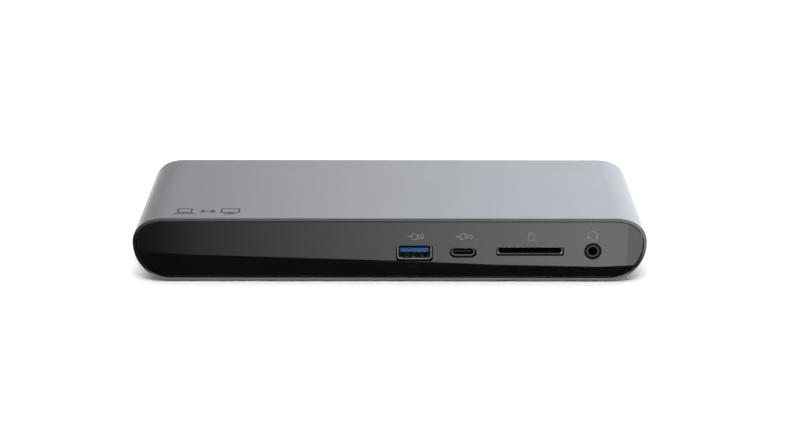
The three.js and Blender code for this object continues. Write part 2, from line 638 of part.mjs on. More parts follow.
// Card socket: a metal shell round a moulded floor, with a sprung ejector in a channel beside the
// card. The ejector's foot stands behind the card's corner and travels back as the card goes in.
function cardSocket(socket) {
  const halfMouth = CARD.mouth / 2 + CARD_RAIL;
  const halfInner = CARD.height / 2 - CARD_SHEET;
  const channelEnd = halfMouth + CHANNEL_WIDTH;
  const legZ = BOARD_TOP_Z + SEAT_GAP - CARD.z;
  let shell = block(-halfMouth - CARD_SHEET, halfMouth + CARD_SHEET, 0, CARD.neck + LAP,
    -CARD.height / 2, CARD.height / 2);
  shell = shell.add(block(-halfMouth - CARD_SHEET, channelEnd + CARD_SHEET, CARD.neck, CARD.depth,
    -CARD.height / 2, CARD.height / 2));
  const legs = [
    [-halfMouth - CARD_SHEET, -halfMouth + CARD_LEG.width],
    [channelEnd - CARD_LEG.width, channelEnd + CARD_SHEET],
  ];
  for (const [x0, x1] of legs) {
    for (const y of CARD_LEG.places) shell = shell.add(block(x0, x1, y, y + CARD_LEG.length, legZ, 0));
  }
  const hollowBack = CARD.depth + OVERRUN;
  shell = shell.subtract(block(-halfMouth, halfMouth, -OVERRUN, hollowBack, -halfInner, halfInner));
  shell = shell.subtract(block(halfMouth - LAP, channelEnd, CARD.neck + CARD_SHEET, hollowBack,
    -halfInner, halfInner));
  addPiece(socket, 'card_socket_shell', nickel, shell);

  const { start, gap } = CARD_BASE;
  const low = -halfInner + gap;
  const high = halfInner - gap;
  const rightRail = CARD.mouth / 2 + CARD_RAIL;
  const channelStart = CARD.neck + CARD_SHEET + gap;
  const back = CARD.depth - gap;
  const base = [
    block(-halfMouth + gap, halfMouth - gap, start, back, low, CARD.floor),
    block(halfMouth - LAP, channelEnd - gap, channelStart, back, low, CARD.floor),
    block(-halfMouth + gap, -CARD.mouth / 2, start, back, low, high),
    block(CARD.mouth / 2, rightRail - gap, start, RAIL_END, low, high),
    block(-halfMouth + gap, channelEnd - gap, BACK_WALL, back, low, high),
  ].reduce((whole, piece) => whole.add(piece));
  addPiece(socket, 'card_socket_base', blackPlastic, base);

  const sliderLow = CARD.floor + SLIDER.clearance;
  const sliderHigh = halfInner - SLIDER.clearance;
  const sliderLeft = rightRail + SLIDER.clearance;
  const sliderRight = channelEnd - SLIDER.clearance;
  const bar = block(sliderLeft, sliderRight, SLIDER.front, SLIDER.back, sliderLow, sliderHigh);
  const foot = block(sliderLeft - SLIDER.footReach, sliderLeft + LAP, SLIDER.back - SLIDER.footLength,
    SLIDER.back, sliderLow, sliderHigh);
  addPiece(socket, 'card_ejector_slider', blackPlastic, bar.add(foot));

  const springX = (sliderLeft + sliderRight) / 2;
  const springZ = (sliderLow + sliderHigh) / 2;
  const coil = roundAlongY(SPRING.radius, SPRING.front, SPRING.back, springX, springZ);
  addPiece(socket, 'card_ejector_spring', steel, coil);
}

sleeve();
footPad();
caseScrews();
chassisTray();
insulatorSheet();
mainBoard();
boardScrews();
boardParts();
heatSpreader();
frontPanel();
rearPanel();
panelGaskets();
usbASocket(frontSocket(USB_A_FRONT_X, USB_A.z), 'usb_a_front');
usbCSocket(frontSocket(USB_C_FRONT_X, USB_C.z), 'usb_c_front');
cardSocket(frontSocket(CARD_X, CARD.z));
audioSocket(frontSocket(AUDIO_X, AUDIO.z, NOSE_SETBACK));
powerSocket(rearSocket(POWER_X, POWER.z, NOSE_SETBACK));
USB_C_REAR_X.forEach((x, index) => usbCSocket(rearSocket(x, USB_C.z), `usb_c_rear_${index + 1}`));
displaySocket(rearSocket(DISPLAY_X, DISPLAY.z));
USB_A_REAR_X.forEach((x, index) => usbASocket(rearSocket(x, USB_A.z), `usb_a_rear_${index + 1}`));
ethernetSocket(rearSocket(ETHERNET_X, ETHERNET.z));

export default station;
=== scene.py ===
"""Looks of the laptop docking station: a fine case, panels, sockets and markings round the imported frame."""
import json
import math

import bmesh
import bpy
from mathutils import Matrix, Vector
from mathutils.geometry import tessellate_polygon


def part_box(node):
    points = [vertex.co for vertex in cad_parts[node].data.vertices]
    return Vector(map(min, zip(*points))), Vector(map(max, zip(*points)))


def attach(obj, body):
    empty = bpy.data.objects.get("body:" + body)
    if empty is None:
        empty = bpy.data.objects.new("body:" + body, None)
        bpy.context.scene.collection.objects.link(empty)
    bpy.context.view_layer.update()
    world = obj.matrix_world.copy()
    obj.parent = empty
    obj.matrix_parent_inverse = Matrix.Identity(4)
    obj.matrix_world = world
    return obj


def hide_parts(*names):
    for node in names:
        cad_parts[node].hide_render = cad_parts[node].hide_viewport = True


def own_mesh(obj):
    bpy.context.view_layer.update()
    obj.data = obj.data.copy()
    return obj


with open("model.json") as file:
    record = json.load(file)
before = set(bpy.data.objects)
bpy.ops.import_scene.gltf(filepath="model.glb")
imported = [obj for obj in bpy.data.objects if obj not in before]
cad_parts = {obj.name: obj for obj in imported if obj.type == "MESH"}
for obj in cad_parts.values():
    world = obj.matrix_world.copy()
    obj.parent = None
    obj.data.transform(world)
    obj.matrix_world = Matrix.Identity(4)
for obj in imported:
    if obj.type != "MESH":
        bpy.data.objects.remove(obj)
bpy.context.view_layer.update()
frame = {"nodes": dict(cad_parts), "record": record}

MM = 0.001
scene = bpy.context.scene

# ------------ camera
SENSOR_WIDTH = 36.0
CAMERA_LENS = 92.44
CAMERA_DISTANCE = 822.4 * MM
CAMERA_ELEVATION = math.radians(18.3)
CAMERA_TURN = 0.003
CAMERA_TARGET = Vector((1.0, 0.0, 12.06)) * MM


# Shapes are made in millimetres, and make_piece turns them into metres. The stage is in metres.
def box(node):
    return [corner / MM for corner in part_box(node)]


def size_of(node):
    low, high = box(node)
    return high - low


def middle_of(node):
    low, high = box(node)
    return (low + high) / 2


# ------------ case
sleeve_low, sleeve_high = box("sleeve")
HALF_WIDTH = sleeve_high.x
HALF_DEPTH = sleeve_high.y
CASE_TOP = sleeve_high.z
CASE_BOTTOM = sleeve_low.z
WIDEST_Z = 15.7
UPPER_CORNER = {"reach": 13.0, "height": CASE_TOP - WIDEST_Z, "power": 2.25}
LOWER_CORNER = {"reach": 14.2, "height": WIDEST_Z - CASE_BOTTOM, "power": 1.95}
CORNER_STEPS = 36
WALL = 2.0
RIM = 1.15
RIM_DEPTH = 3.4
RIM_SLOPE = 0.3
OUTER_EDGE = 0.16
INNER_EDGE = 0.1
PANEL_GAP = 0.35
PANEL_EDGE = 0.12
CUTOUT_EDGE = 0.1

# ------------ sockets, as in the frame
SHEET = 0.3
CARD_SHEET = 0.25
BLOCK_GAP = 0.1          # between a socket's shell and the block that fills its back
FLARE = 0.1
FLARE_LENGTH = 0.8
USB_A_MOUTH = (12.5, 5.12)
USB_A_DEPTH = 14.0
USB_A_CUTOUT = {"side": 0.5, "below": 0.25, "above": 0.45, "radius": 0.9}
USB_A_TONGUE = {"width": 11.1, "thickness": 1.74, "rise": 0.95, "start": 0.7, "root": 9.4}
USB_C_MOUTH = (8.34, 2.56)
USB_C_DEPTH = 9.6
USB_C_CUTOUT = {"side": 0.7, "below": 0.25, "above": 0.5, "radius": 2}
USB_C_TONGUE = {"width": 6.7, "thickness": 0.7, "rise": 0.0, "start": 0.9, "root": 6.6}
DISPLAY_MOUTH = (16.1, 4.9)
DISPLAY_DEPTH = 17.0
DISPLAY_CUTOUT = {"side": 0.55, "below": 0.55, "above": 0.55, "radius": 0.6}
DISPLAY_TONGUE = {"width": 13.0, "thickness": 1.2, "rise": 0.7, "start": 0.9, "root": 11.0}
ETHERNET_BAY = {"width": 11.9, "height": 7.2, "depth": 14.5, "rise": 0.6,
                "key_width": 6.2, "key_drop": 1.7}
CARD_MOUTH = 24.2
CARD_RAIL = 0.35
CARD_HEIGHT = 3.0
CARD_CUTOUT = {"side": 0.35, "below": 0.1, "above": 0.35, "radius": 0.5}
AUDIO_NOSE = 3.2
AUDIO_BORE = 1.8
POWER_NOSE = 4.1
POWER_BORE = 3.2


# ------------ materials
def set_inputs(node, **values):
    """Sets a node's inputs by name, with _ for each space."""
    for name, value in values.items():
        node.inputs[name.replace("_", " ")].default_value = value


def new_material(name, color, roughness, metallic=0.0, **sockets):
    """A Principled material with its uniform values set on the shader's own sockets."""
    material = bpy.data.materials.new(name)
    material.use_nodes = True
    set_inputs(material.node_tree.nodes["Principled BSDF"], Base_Color=(*color, 1.0), Roughness=roughness,
               Metallic=metallic, **sockets)
    return material


def add_node(material, kind, feeds=None, **values):
    """Adds a node with some inputs set, and some linked to the outputs that feeds names for them."""
    node = material.node_tree.nodes.new(f"ShaderNode{kind}")
    set_inputs(node, **values)
    for name, output in (feeds or {}).items():
        material.node_tree.links.new(output, node.inputs[name])
    return node


def feed_shader(material, socket, output):
    material.node_tree.links.new(output, material.node_tree.nodes["Principled BSDF"].inputs[socket])


def object_noise(material, scale, detail=2.0, stretch=(1.0, 1.0, 1.0)):
    """Noise in the object's own metres. stretch draws it out into streaks."""
    coordinates = add_node(material, "TexCoord")
    mapping = add_node(material, "Mapping", {"Vector": coordinates.outputs["Object"]}, Scale=stretch)
    noise = add_node(material, "TexNoise", {"Vector": mapping.outputs["Vector"]}, Scale=scale, Detail=detail)
    return noise.outputs["Fac"]


def add_ramp(material, factor, stops):
    """A colour ramp through the stops. Gives its colour."""
    ramp = add_node(material, "ValToRGB", {"Fac": factor})
    elements = ramp.color_ramp.elements
    for index, (position, color) in enumerate(stops):
        element = elements[index] if index < 2 else elements.new(position)
        element.position = position
        element.color = (*color, 1.0)
    return ramp.outputs["Color"]


def vary_color(material, factor, dark, light):
    """Base colour runs between two shades as the noise does."""
    feed_shader(material, "Base Color", add_ramp(material, factor, ((0.35, dark), (0.65, light))))


def vary_roughness(material, factor, low, high):
    span = add_node(material, "MapRange", {"Value": factor}, From_Min=0.3, From_Max=0.7, To_Min=low,
                    To_Max=high)
    feed_shader(material, "Roughness", span.outputs["Result"])


def add_bump(material, factor, strength, distance):
    bump = add_node(material, "Bump", {"Height": factor}, Strength=strength, Distance=distance)
    feed_shader(material, "Normal", bump.outputs["Normal"])


def shade(color, factor):
    return tuple(channel * factor for channel in color)


def textured(name, color, roughness, metallic=0.0, grain=2500.0, bump=0.1, mottle=0.08, spread=0.05,
             **sockets):
    """A material whose colour drifts a little over centimetres and whose surface has a fine grain."""
    material = new_material(name, color, roughness, metallic, **sockets)
    drift = object_noise(material, 60.0)
    vary_color(material, drift, shade(color, 1 - mottle), shade(color, 1 + mottle))
    fine = object_noise(material, grain, detail=3.0)
    vary_roughness(material, fine, roughness - spread, roughness + spread)
    if bump:
        add_bump(material, fine, bump, 0.02 * MM)
    return material


def plated_metal(name, color, roughness, metallic=1.0):
    """Stamped and plated sheet: short draw marks along the pressing direction."""
    material = new_material(name, color, roughness, metallic)
    drift = object_noise(material, 150.0)
    vary_color(material, drift, shade(color, 0.93), shade(color, 1.04))
    streaks = object_noise(material, 900.0, detail=3.0, stretch=(1.0, 0.08, 1.0))
    vary_roughness(material, streaks, roughness - 0.03, roughness + 0.04)
    add_bump(material, streaks, 0.04, 0.01 * MM)
    return material


ALUMINIUM_COLOR = (0.497, 0.501, 0.523)
aluminium = textured("anodised aluminium", ALUMINIUM_COLOR, 0.36, 1.0, grain=3200.0, bump=0.16, mottle=0.012,
                     spread=0.04)
# The rim's metal is darker than the anodised top's: painted shade that keeps its face dim and its rounded
# edge from catching highlights.
painted_shade_rim = textured("rim with painted shade", (0.17, 0.172, 0.18), 0.3, 1.0, grain=2600.0, bump=0.06, mottle=0.03)
inner_aluminium = textured("extruded aluminium", (0.5, 0.5, 0.51), 0.42, 1.0, grain=1500.0, bump=0.15)
gloss_black = textured("gloss black", (0.0045, 0.0045, 0.0048), 0.035, grain=90.0, bump=0.0, mottle=0.05,
                       spread=0.012, IOR=2.0)
dull_black = textured("dull black", (0.004, 0.004, 0.0042), 0.6, grain=4000.0, bump=0.1, mottle=0.1,
                      Specular_IOR_Level=0.15)
black_plastic = textured("moulded black plastic", (0.018, 0.018, 0.019), 0.42, grain=5200.0, bump=0.35,
                         mottle=0.1)
socket_plastic = textured("socket plastic", (0.006, 0.006, 0.0063), 0.45, grain=4000.0, bump=0.15, mottle=0.1)
blue_plastic = textured("blue plastic", (0.003, 0.12, 0.32), 0.4, grain=3500.0, bump=0.12, mottle=0.06,
                        Specular_IOR_Level=0.3)
nickel = plated_metal("nickel plate", (0.66, 0.655, 0.64), 0.26, 0.82)
# The USB-C shells' nickel, darkened: painted shade that tones down the highlights on their lips.
nickel_with_painted_shade = plated_metal("nickel plate with painted shade", (0.24, 0.239, 0.234), 0.3, 0.9)
gold = plated_metal("gold contacts", (0.83, 0.62, 0.28), 0.22)
ring_metal = plated_metal("dark ring", (0.1, 0.1, 0.103), 0.4)
steel = plated_metal("sheet steel", (0.42, 0.42, 0.43), 0.36, 0.9)
rubber = textured("rubber", (0.022, 0.022, 0.023), 0.82, grain=2600.0, bump=0.5, mottle=0.15)
ink = textured("printed ink", (0.19, 0.19, 0.192), 0.55, grain=6000.0, bump=0.05, mottle=0.08)
etching = textured("laser etching", (0.055, 0.055, 0.058), 0.6, 0.3, grain=5000.0, bump=0.2, mottle=0.08)
circuit = textured("solder mask", (0.01, 0.075, 0.035), 0.38, grain=1200.0, bump=0.2, mottle=0.25)
chip = textured("chip moulding", (0.028, 0.028, 0.03), 0.55, grain=4500.0, bump=0.3, mottle=0.1)
ferrite = textured("ferrite", (0.075, 0.075, 0.08), 0.7, grain=2200.0, bump=0.5, mottle=0.2)
gap_pad = textured("thermal pad", (0.33, 0.35, 0.4), 0.85, grain=1800.0, bump=0.4, mottle=0.1)
film = textured("insulating film", (0.035, 0.035, 0.037), 0.5, grain=900.0, bump=0.1, mottle=0.1)
lamp_green = textured("green lamp window", (0.05, 0.2, 0.06), 0.25, grain=1500.0, bump=0.05)
lamp_amber = textured("amber lamp window", (0.35, 0.16, 0.03), 0.25, grain=1500.0, bump=0.05)

SLOT_MATERIALS = {
    "anodised_aluminium": aluminium,
    "spreader_aluminium": inner_aluminium,
    "gloss_black": gloss_black,
    "black_plastic": socket_plastic,
    "rubber": rubber,
    "steel": steel,
    "nickel": nickel,
    "blue_plastic": blue_plastic,
    "circuit_board": circuit,
    "chip_black": chip,
    "ferrite": ferrite,
    "thermal_pad": gap_pad,
    "insulating_film": film,
}
SLOT_OF = {part["node"]: part["material_slot"] for part in frame["record"]["subparts"]}
for cad_node, cad_slot in SLOT_OF.items():
    cad_mesh = frame["nodes"][cad_node].data
    cad_mesh.materials.clear()
    cad_mesh.materials.append(SLOT_MATERIALS[cad_slot])


# ------------ outlines
# An outline is a function: it takes an inset and gives a closed loop of (x, z) points.
def case_corner(corner, share, inset):
    angle = share * math.pi / 2
    across = max(math.cos(angle), 0.0) ** (2 / corner["power"])
    rise = math.sin(angle) ** (2 / corner["power"])
    normal = Vector((across ** (corner["power"] - 1) / corner["reach"],
                     rise ** (corner["power"] - 1) / corner["height"])).normalized()
    x = HALF_WIDTH - corner["reach"] + corner["reach"] * across - inset * normal.x
    return x, corner["height"] * rise - inset * normal.y


def case_outline(inset=0.0):
    """The case seen from the front: four superellipse corners joined by straight stretches."""
    loop = []
    quarters = ((UPPER_CORNER, 1, 1), (UPPER_CORNER, -1, 1), (LOWER_CORNER, -1, -1), (LOWER_CORNER, 1, -1))
    for index, (corner, side, up) in enumerate(quarters):
        steps = range(CORNER_STEPS + 1)
        if index % 2:
            steps = reversed(steps)
        for step in steps:
            if index > 1 and step == 0:
                continue
            x, rise = case_corner(corner, step / CORNER_STEPS, inset)
            loop.append((side * x, WIDEST_Z + up * rise))
    return loop


def rounded(width, height, radius, x=0.0, z=0.0, steps=6):
    def outline(inset=0.0):
        half_width, half_height = width / 2 - inset, height / 2 - inset
        r = min(max(radius - inset, 0.02), half_width * 0.999, half_height * 0.999)
        loop = []
        for quarter, (side, up) in enumerate(((1, 1), (-1, 1), (-1, -1), (1, -1))):
            for step in range(steps + 1):
                angle = math.pi / 2 * (quarter + step / steps)
                loop.append((x + side * (half_width - r) + r * math.cos(angle),
                             z + up * (half_height - r) + r * math.sin(angle)))
        return loop
    return outline


def stadium(width, height, x=0.0, z=0.0, steps=10):
    return rounded(width, height, height / 2, x, z, steps)


def circle(radius, x=0.0, z=0.0, steps=56):
    def outline(inset=0.0):
        turns = [2 * math.pi * step / steps for step in range(steps)]
        return [(x + (radius - inset) * math.cos(a), z + (radius - inset) * math.sin(a)) for a in turns]
    return outline


def keyed(width, height, chamfer):
    """A rectangle with its lower right corner cut off at 45 degrees."""
    def outline(inset=0.0):
        right, top = width / 2 - inset, height / 2 - inset
        cut = chamfer - inset * (2 - math.sqrt(2))
        return [(right, top), (-right, top), (-right, -top), (right - cut, -top), (right, -top + cut)]
    return outline


# ------------ mesh tools
def fillet(corners, steps=4, closed=True):
    """Rounds the corners of a path. Corners are (inset, y, radius, material); gives (inset, y, material)."""
    path = []
    count = len(corners)
    for index, (inset, y, radius, material) in enumerate(corners):
        here = Vector((inset, y))
        ends = not closed and index in (0, count - 1)
        if radius <= 0 or ends:
            path.append((inset, y, material))
            continue
        before = Vector(corners[index - 1][:2])
        after = Vector(corners[(index + 1) % count][:2])
        start = here + (before - here).normalized() * radius
        end = here + (after - here).normalized() * radius
        for step in range(steps + 1):
            t = step / steps
            point = start * (1 - t) ** 2 + here * 2 * t * (1 - t) + end * t ** 2
            path.append((point.x, point.y, material))
    return path


def sweep(bm, outline, path, closed=True):
    """Carries an outline along a path of (inset, y, material). Gives the rings of vertices."""
    rings = [[bm.verts.new((x, y, z)) for x, z in outline(inset)] for inset, y, _ in path]
    for index in range(len(path) if closed else len(path) - 1):
        near, far = rings[index], rings[(index + 1) % len(rings)]
        for i, vertex in enumerate(near):
            j = (i + 1) % len(near)
            face = bm.faces.new((vertex, near[j], far[j], far[i]))
            face.material_index = path[index][2]
    return rings


def skin(bm, rings, material=0, closed=False):
    """Joins each ring of vertices to the next, and caps both ends unless the rings make a loop."""
    pairs = list(zip(rings, rings[1:]))
    if closed:
        pairs.append((rings[-1], rings[0]))
    faces = [] if closed else [bm.faces.new(rings[0]), bm.faces.new(rings[-1])]
    for near, far in pairs:
        for i, vertex in enumerate(near):
            j = (i + 1) % len(near)
            faces.append(bm.faces.new((vertex, near[j], far[j], far[i])))
    for face in faces:
        face.material_index = material


def fill(bm, loops, material=0):
    """Fills the area inside the first loop of vertices and outside the others."""
    flat = [vertex for loop in loops for vertex in loop]
    for triangle in tessellate_polygon([[(v.co.x, v.co.z) for v in loop] for loop in loops]):
        face = bm.faces.new([flat[i] for i in triangle])
        face.material_index = material


def add_box(bm, x0, x1, y0, y1, z0, z1, edge=0.0, material=0):
    """A box, with its edges rounded if edge is given."""
    made = bmesh.ops.create_cube(bm, size=1.0)["verts"]
    size = Vector((x1 - x0, y1 - y0, z1 - z0))
    centre = Vector((x0 + x1, y0 + y1, z0 + z1)) / 2
    for vertex in made:
        vertex.co = Vector([c * s for c, s in zip(vertex.co, size)]) + centre
    for face in {f for v in made for f in v.link_faces}:
        face.material_index = material
    if edge:
        edges = list({e for v in made for e in v.link_edges})
        bmesh.ops.bevel(bm, geom=edges, offset=edge, segments=3, profile=0.5, affect="EDGES",
                        clamp_overlap=True)


def add_plate(bm, outer, holes, y0, y1, edge, hole_edge=None, material=0, hole_material=None):
    """A flat plate between y0 and y1 with holes through it. Its edges and the holes' edges are rounded."""
    def path(sign, radius, material):
        corners = [(sign * radius, y0, 0, material), (0.0, y0, radius, material), (0.0, y1, radius, material),
                   (sign * radius, y1, 0, material)]
        return fillet(corners, closed=False)[1:-1]
    hole_edge = edge if hole_edge is None else hole_edge
    wall = material if hole_material is None else hole_material
    rings = [sweep(bm, outer, path(1, edge, material), closed=False)]
    rings += [sweep(bm, hole, path(-1, hole_edge, wall), closed=False) for hole in holes]
    fill(bm, [ring[0] for ring in rings], material)
    fill(bm, [ring[-1] for ring in rings], material)


def add_tube(bm, outer, wall, y0, y1, lip=0.08):
    """A tube with a rounded lip at its front end."""
    sweep(bm, outer, fillet([(0.0, y0, lip, 0), (wall, y0, lip, 0), (wall, y1, 0, 0), (0.0, y1, 0, 0)]))


def add_flared_tube(bm, outer, wall, y1, lip=0.1, mouth_wall=None, lift=0.0, inner_lift=0.0):
    """A sheet-metal tube whose mouth, at y = 0, flares and is lifted, on the inside by inner_lift more."""
    thick = mouth_wall or wall
    bend = 0.3
    corners = [(-FLARE, 0.0, lip, 0), (thick - FLARE, 0.0, lip, 0), (wall, FLARE_LENGTH, bend, 0),
               (wall, y1, 0, 0), (0.0, y1, 0, 0), (0.0, FLARE_LENGTH, bend, 0)]
    path = fillet(corners)
    for (inset, _, _), ring in zip(path, sweep(bm, outer, path)):
        rise = lift + (inner_lift if inset > thick / 2 - FLARE else 0.0)
        for vertex in ring:
            vertex.co.z += rise * max(0.0, 1 - vertex.co.y / FLARE_LENGTH)


def add_plug(bm, outer, y0, y1, edge, material=0):
    """A solid bar of the outline, closed at both ends."""
    add_plate(bm, outer, [], y0, y1, edge, material=material)


def add_strip(bm, points, width, thickness, x, z_base, material=0):
    """A bent strip of sheet: points are (y, z over z_base) along its middle."""
    rows = []
    for index, (y, z) in enumerate(points):
        before = Vector(points[max(index - 1, 0)])
        after = Vector(points[min(index + 1, len(points) - 1)])
        along = (after - before).normalized()
        across = Vector((-along.y, along.x)) * thickness / 2
        rows.append([bm.verts.new((x + sx * width / 2, y + s * across.x, z_base + z + s * across.y))
                     for sx, s in ((-1, 1), (1, 1), (1, -1), (-1, -1))])
    skin(bm, rows, material)


SHARP_ANGLE = math.radians(32.0)


def make_piece(name, bm, materials, replaces=(), place=Matrix.Identity(4), body="case"):
    """Turns a bmesh in millimetres into a piece of the object, in metres, that rides on a body."""
    bmesh.ops.recalc_face_normals(bm, faces=bm.faces)
    for edge in bm.edges:
        edge.smooth = len(edge.link_faces) == 2 and edge.calc_face_angle() < SHARP_ANGLE
    for face in bm.faces:
        face.smooth = True
    mesh = bpy.data.meshes.new(name)
    bm.to_mesh(mesh)
    bm.free()
    mesh.transform(Matrix.Scale(MM, 4) @ place)
    for material in materials:
        mesh.materials.append(material)
    obj = bpy.data.objects.new(name, mesh)
    scene.collection.objects.link(obj)
    weighted = obj.modifiers.new("weighted normals", "WEIGHTED_NORMAL")
    weighted.keep_sharp = True
    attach(obj, body)
    if replaces:
        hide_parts(*replaces)
    return obj


def stand_in(node, bm, materials, place=Matrix.Identity(4), body="case"):
    """A fine piece in place of one of the frame's nodes, which it hides."""
    return make_piece(f"{node}_fine", bm, materials, [node], place, body)


def cut_away(bm, cutter):
    """Takes the cutter's solid out of the bmesh's solid."""
    meshes = []
    for source in (bm, cutter):
        bmesh.ops.recalc_face_normals(source, faces=source.faces)
        mesh = bpy.data.meshes.new("boolean")
        source.to_mesh(mesh)
        meshes.append(mesh)
    holder = bpy.data.objects.new("boolean", meshes[0])
    tool = bpy.data.objects.new("boolean tool", meshes[1])
    for obj in (holder, tool):
        scene.collection.objects.link(obj)
    modifier = holder.modifiers.new("cut", "BOOLEAN")
    modifier.operation = "DIFFERENCE"
    modifier.solver = "EXACT"
    modifier.object = tool
    bpy.context.view_layer.update()
    result = holder.evaluated_get(bpy.context.evaluated_depsgraph_get()).to_mesh()
    bm.clear()
    bm.from_mesh(result)
    cutter.free()
    for obj in (holder, tool):
        bpy.data.objects.remove(obj)
    for mesh in meshes:
        bpy.data.meshes.remove(mesh)


def socket_place(node, half_height, x=None):
    """Where a socket's own frame stands: the middle of its mouth, facing out of the case."""
    low, high = box(node)
    front = low.y < 0
    middle = (low.x + high.x) / 2 if x is None else x
    place = Matrix.Translation((middle, low.y if front else high.y, high.z - half_height))
    return place if front else place @ Matrix.Rotation(math.pi, 4, "Z")


# ------------ case pieces
LIE_FLAT = Matrix.Rotation(-math.pi / 2, 4, "X")      # turns a plate, which faces front, to face up


def build_sleeve():
    """The extrusion, thinned at both ends, with machined rims, whose darker metal is painted shade, and a
    recess underneath for the pad.
    """
    front, rear = -HALF_DEPTH, HALF_DEPTH
    # The rims take the second material, whose darker colour is painted shade.
    satin, edge, inside = 0, 1, 2
    corners = [
        (0.0, rear - RIM_SLOPE, OUTER_EDGE, satin), (0.0, front + RIM_SLOPE, OUTER_EDGE, edge),
        (RIM, front, INNER_EDGE, edge),
        (RIM, front + RIM_DEPTH, 0, inside), (WALL, front + RIM_DEPTH, 0, inside),
        (WALL, rear - RIM_DEPTH, 0, inside), (RIM, rear - RIM_DEPTH, 0, edge), (RIM, rear, INNER_EDGE, edge),
    ]
    bm = bmesh.new()
    sweep(bm, case_outline, fillet(corners))
    pad = size_of("foot_pad")
    recess = bmesh.new()
    add_plate(recess, rounded(pad.x + 0.5, pad.y + 0.5, 9, steps=16), [], -1, 0.6, 0)
    recess.transform(Matrix.Translation((0, 0, CASE_BOTTOM)) @ LIE_FLAT)
    cut_away(bm, recess)
    stand_in("sleeve", bm, [aluminium, painted_shade_rim, inner_aluminium])


def build_foot_pad():
    """Rubber pad with a rounded rim and a raised border round a field of low ribs."""
    low, high = box("foot_pad")
    width, depth = high.x - low.x, high.y - low.y
    bm = bmesh.new()
    add_plug(bm, rounded(width, depth, 8.75, steps=16), -(high.z - 0.12), -low.z - 0.12, 0.3)
    rib_count, side_margin, end_margin = 27, 8, 7
    pitch = (width - 2 * side_margin) / (rib_count - 1)
    for index in range(rib_count):
        x = -width / 2 + side_margin + index * pitch
        add_plug(bm, rounded(1.6, depth - 2 * end_margin, 0.8, x=x, steps=4), -0.3, -low.z, 0.1)
    add_plate(bm, rounded(width - 4, depth - 4, 7, steps=12),
              [rounded(width - 7, depth - 7, 5.5, steps=12)], -0.3, -low.z, 0.1)
    stand_in("foot_pad", bm, [rubber], LIE_FLAT)


def build_panel(node, holes, material):
    low, high = box(node)
    bm = bmesh.new()
    def outline(inset=0.0):
        return case_outline(RIM + PANEL_GAP + inset)
    add_plate(bm, outline, holes, low.y, high.y, PANEL_EDGE, CUTOUT_EDGE, hole_material=1)
    stand_in(node, bm, [material, dull_black])


def mouth_hole(node, mouth, clearance, sheet=SHEET, x=None):
    """The opening in a panel round a socket's mouth, with its clearances at the sides, below and above."""
    at = socket_place(node, mouth[1] / 2 + sheet, x).translation
    width = mouth[0] + 2 * (sheet + clearance["side"])
    height = mouth[1] + 2 * sheet + clearance["below"] + clearance["above"]
    z = at.z + (clearance["above"] - clearance["below"]) / 2
    return rounded(width, height, min(clearance["radius"], height / 2), at.x, z, steps=10)


def build_front_panel():
    audio = middle_of("audio_socket_ring")
    card_mouth = (CARD_MOUTH + 2 * CARD_RAIL, CARD_HEIGHT - 2 * CARD_SHEET)
    holes = [
        mouth_hole("usb_a_front_shell", USB_A_MOUTH, USB_A_CUTOUT),
        mouth_hole("usb_c_front_shell", USB_C_MOUTH, USB_C_CUTOUT),
        mouth_hole("card_socket_shell", card_mouth, CARD_CUTOUT, CARD_SHEET, card_place().translation.x),
        circle(AUDIO_NOSE + 0.12, audio.x, audio.z),
    ]
    build_panel("front_panel", holes, gloss_black)


def build_rear_panel():
    holes = [mouth_hole(f"usb_a_rear_{index}_shell", USB_A_MOUTH, USB_A_CUTOUT) for index in (1, 2, 3)]
    holes += [mouth_hole(f"usb_c_rear_{index}_shell", USB_C_MOUTH, USB_C_CUTOUT) for index in (1, 2)]
    holes.append(mouth_hole("display_socket_shell", DISPLAY_MOUTH, DISPLAY_CUTOUT))
    size, middle = size_of("ethernet_socket_shell"), middle_of("ethernet_socket_shell")
    holes.append(rounded(size.x + 0.8, size.z + 0.8, 0.4, middle.x, middle.z))
    power = middle_of("power_socket_pin")
    holes.append(circle(POWER_NOSE + 0.25, power.x, power.z))
    build_panel("rear_panel", holes, black_plastic)


# ------------ sockets
def add_finger(bm, x, floor):
    """A sprung finger, cut from the shell's floor, that rises into the mouth and dips at its tip."""
    line = [(8.8, 0.05), (7.2, 0.1), (5.8, 0.3), (4.6, 0.58), (3.8, 0.66), (3.2, 0.56), (2.7, 0.34),
            (2.3, 0.2)]
    add_strip(bm, line, 2.0, 0.22, x, floor)


def add_tongue(bm, tongue, edge, overlap=1):
    """A socket's tongue, that reaches into the block behind it. Gives the heights of its two faces."""
    side = tongue["width"] / 2
    low, high = tongue["rise"] - tongue["thickness"] / 2, tongue["rise"] + tongue["thickness"] / 2
    add_box(bm, -side, side, tongue["start"], tongue["root"] + overlap, low, high, edge)
    return low, high


def add_contacts(bm, places, width, y0, y1, z0, z1, edge=0.0):
    """A row of contacts along X, in the second material."""
    for x in places:
        add_box(bm, x - width / 2, x + width / 2, y0, y1, z0, z1, edge, material=1)


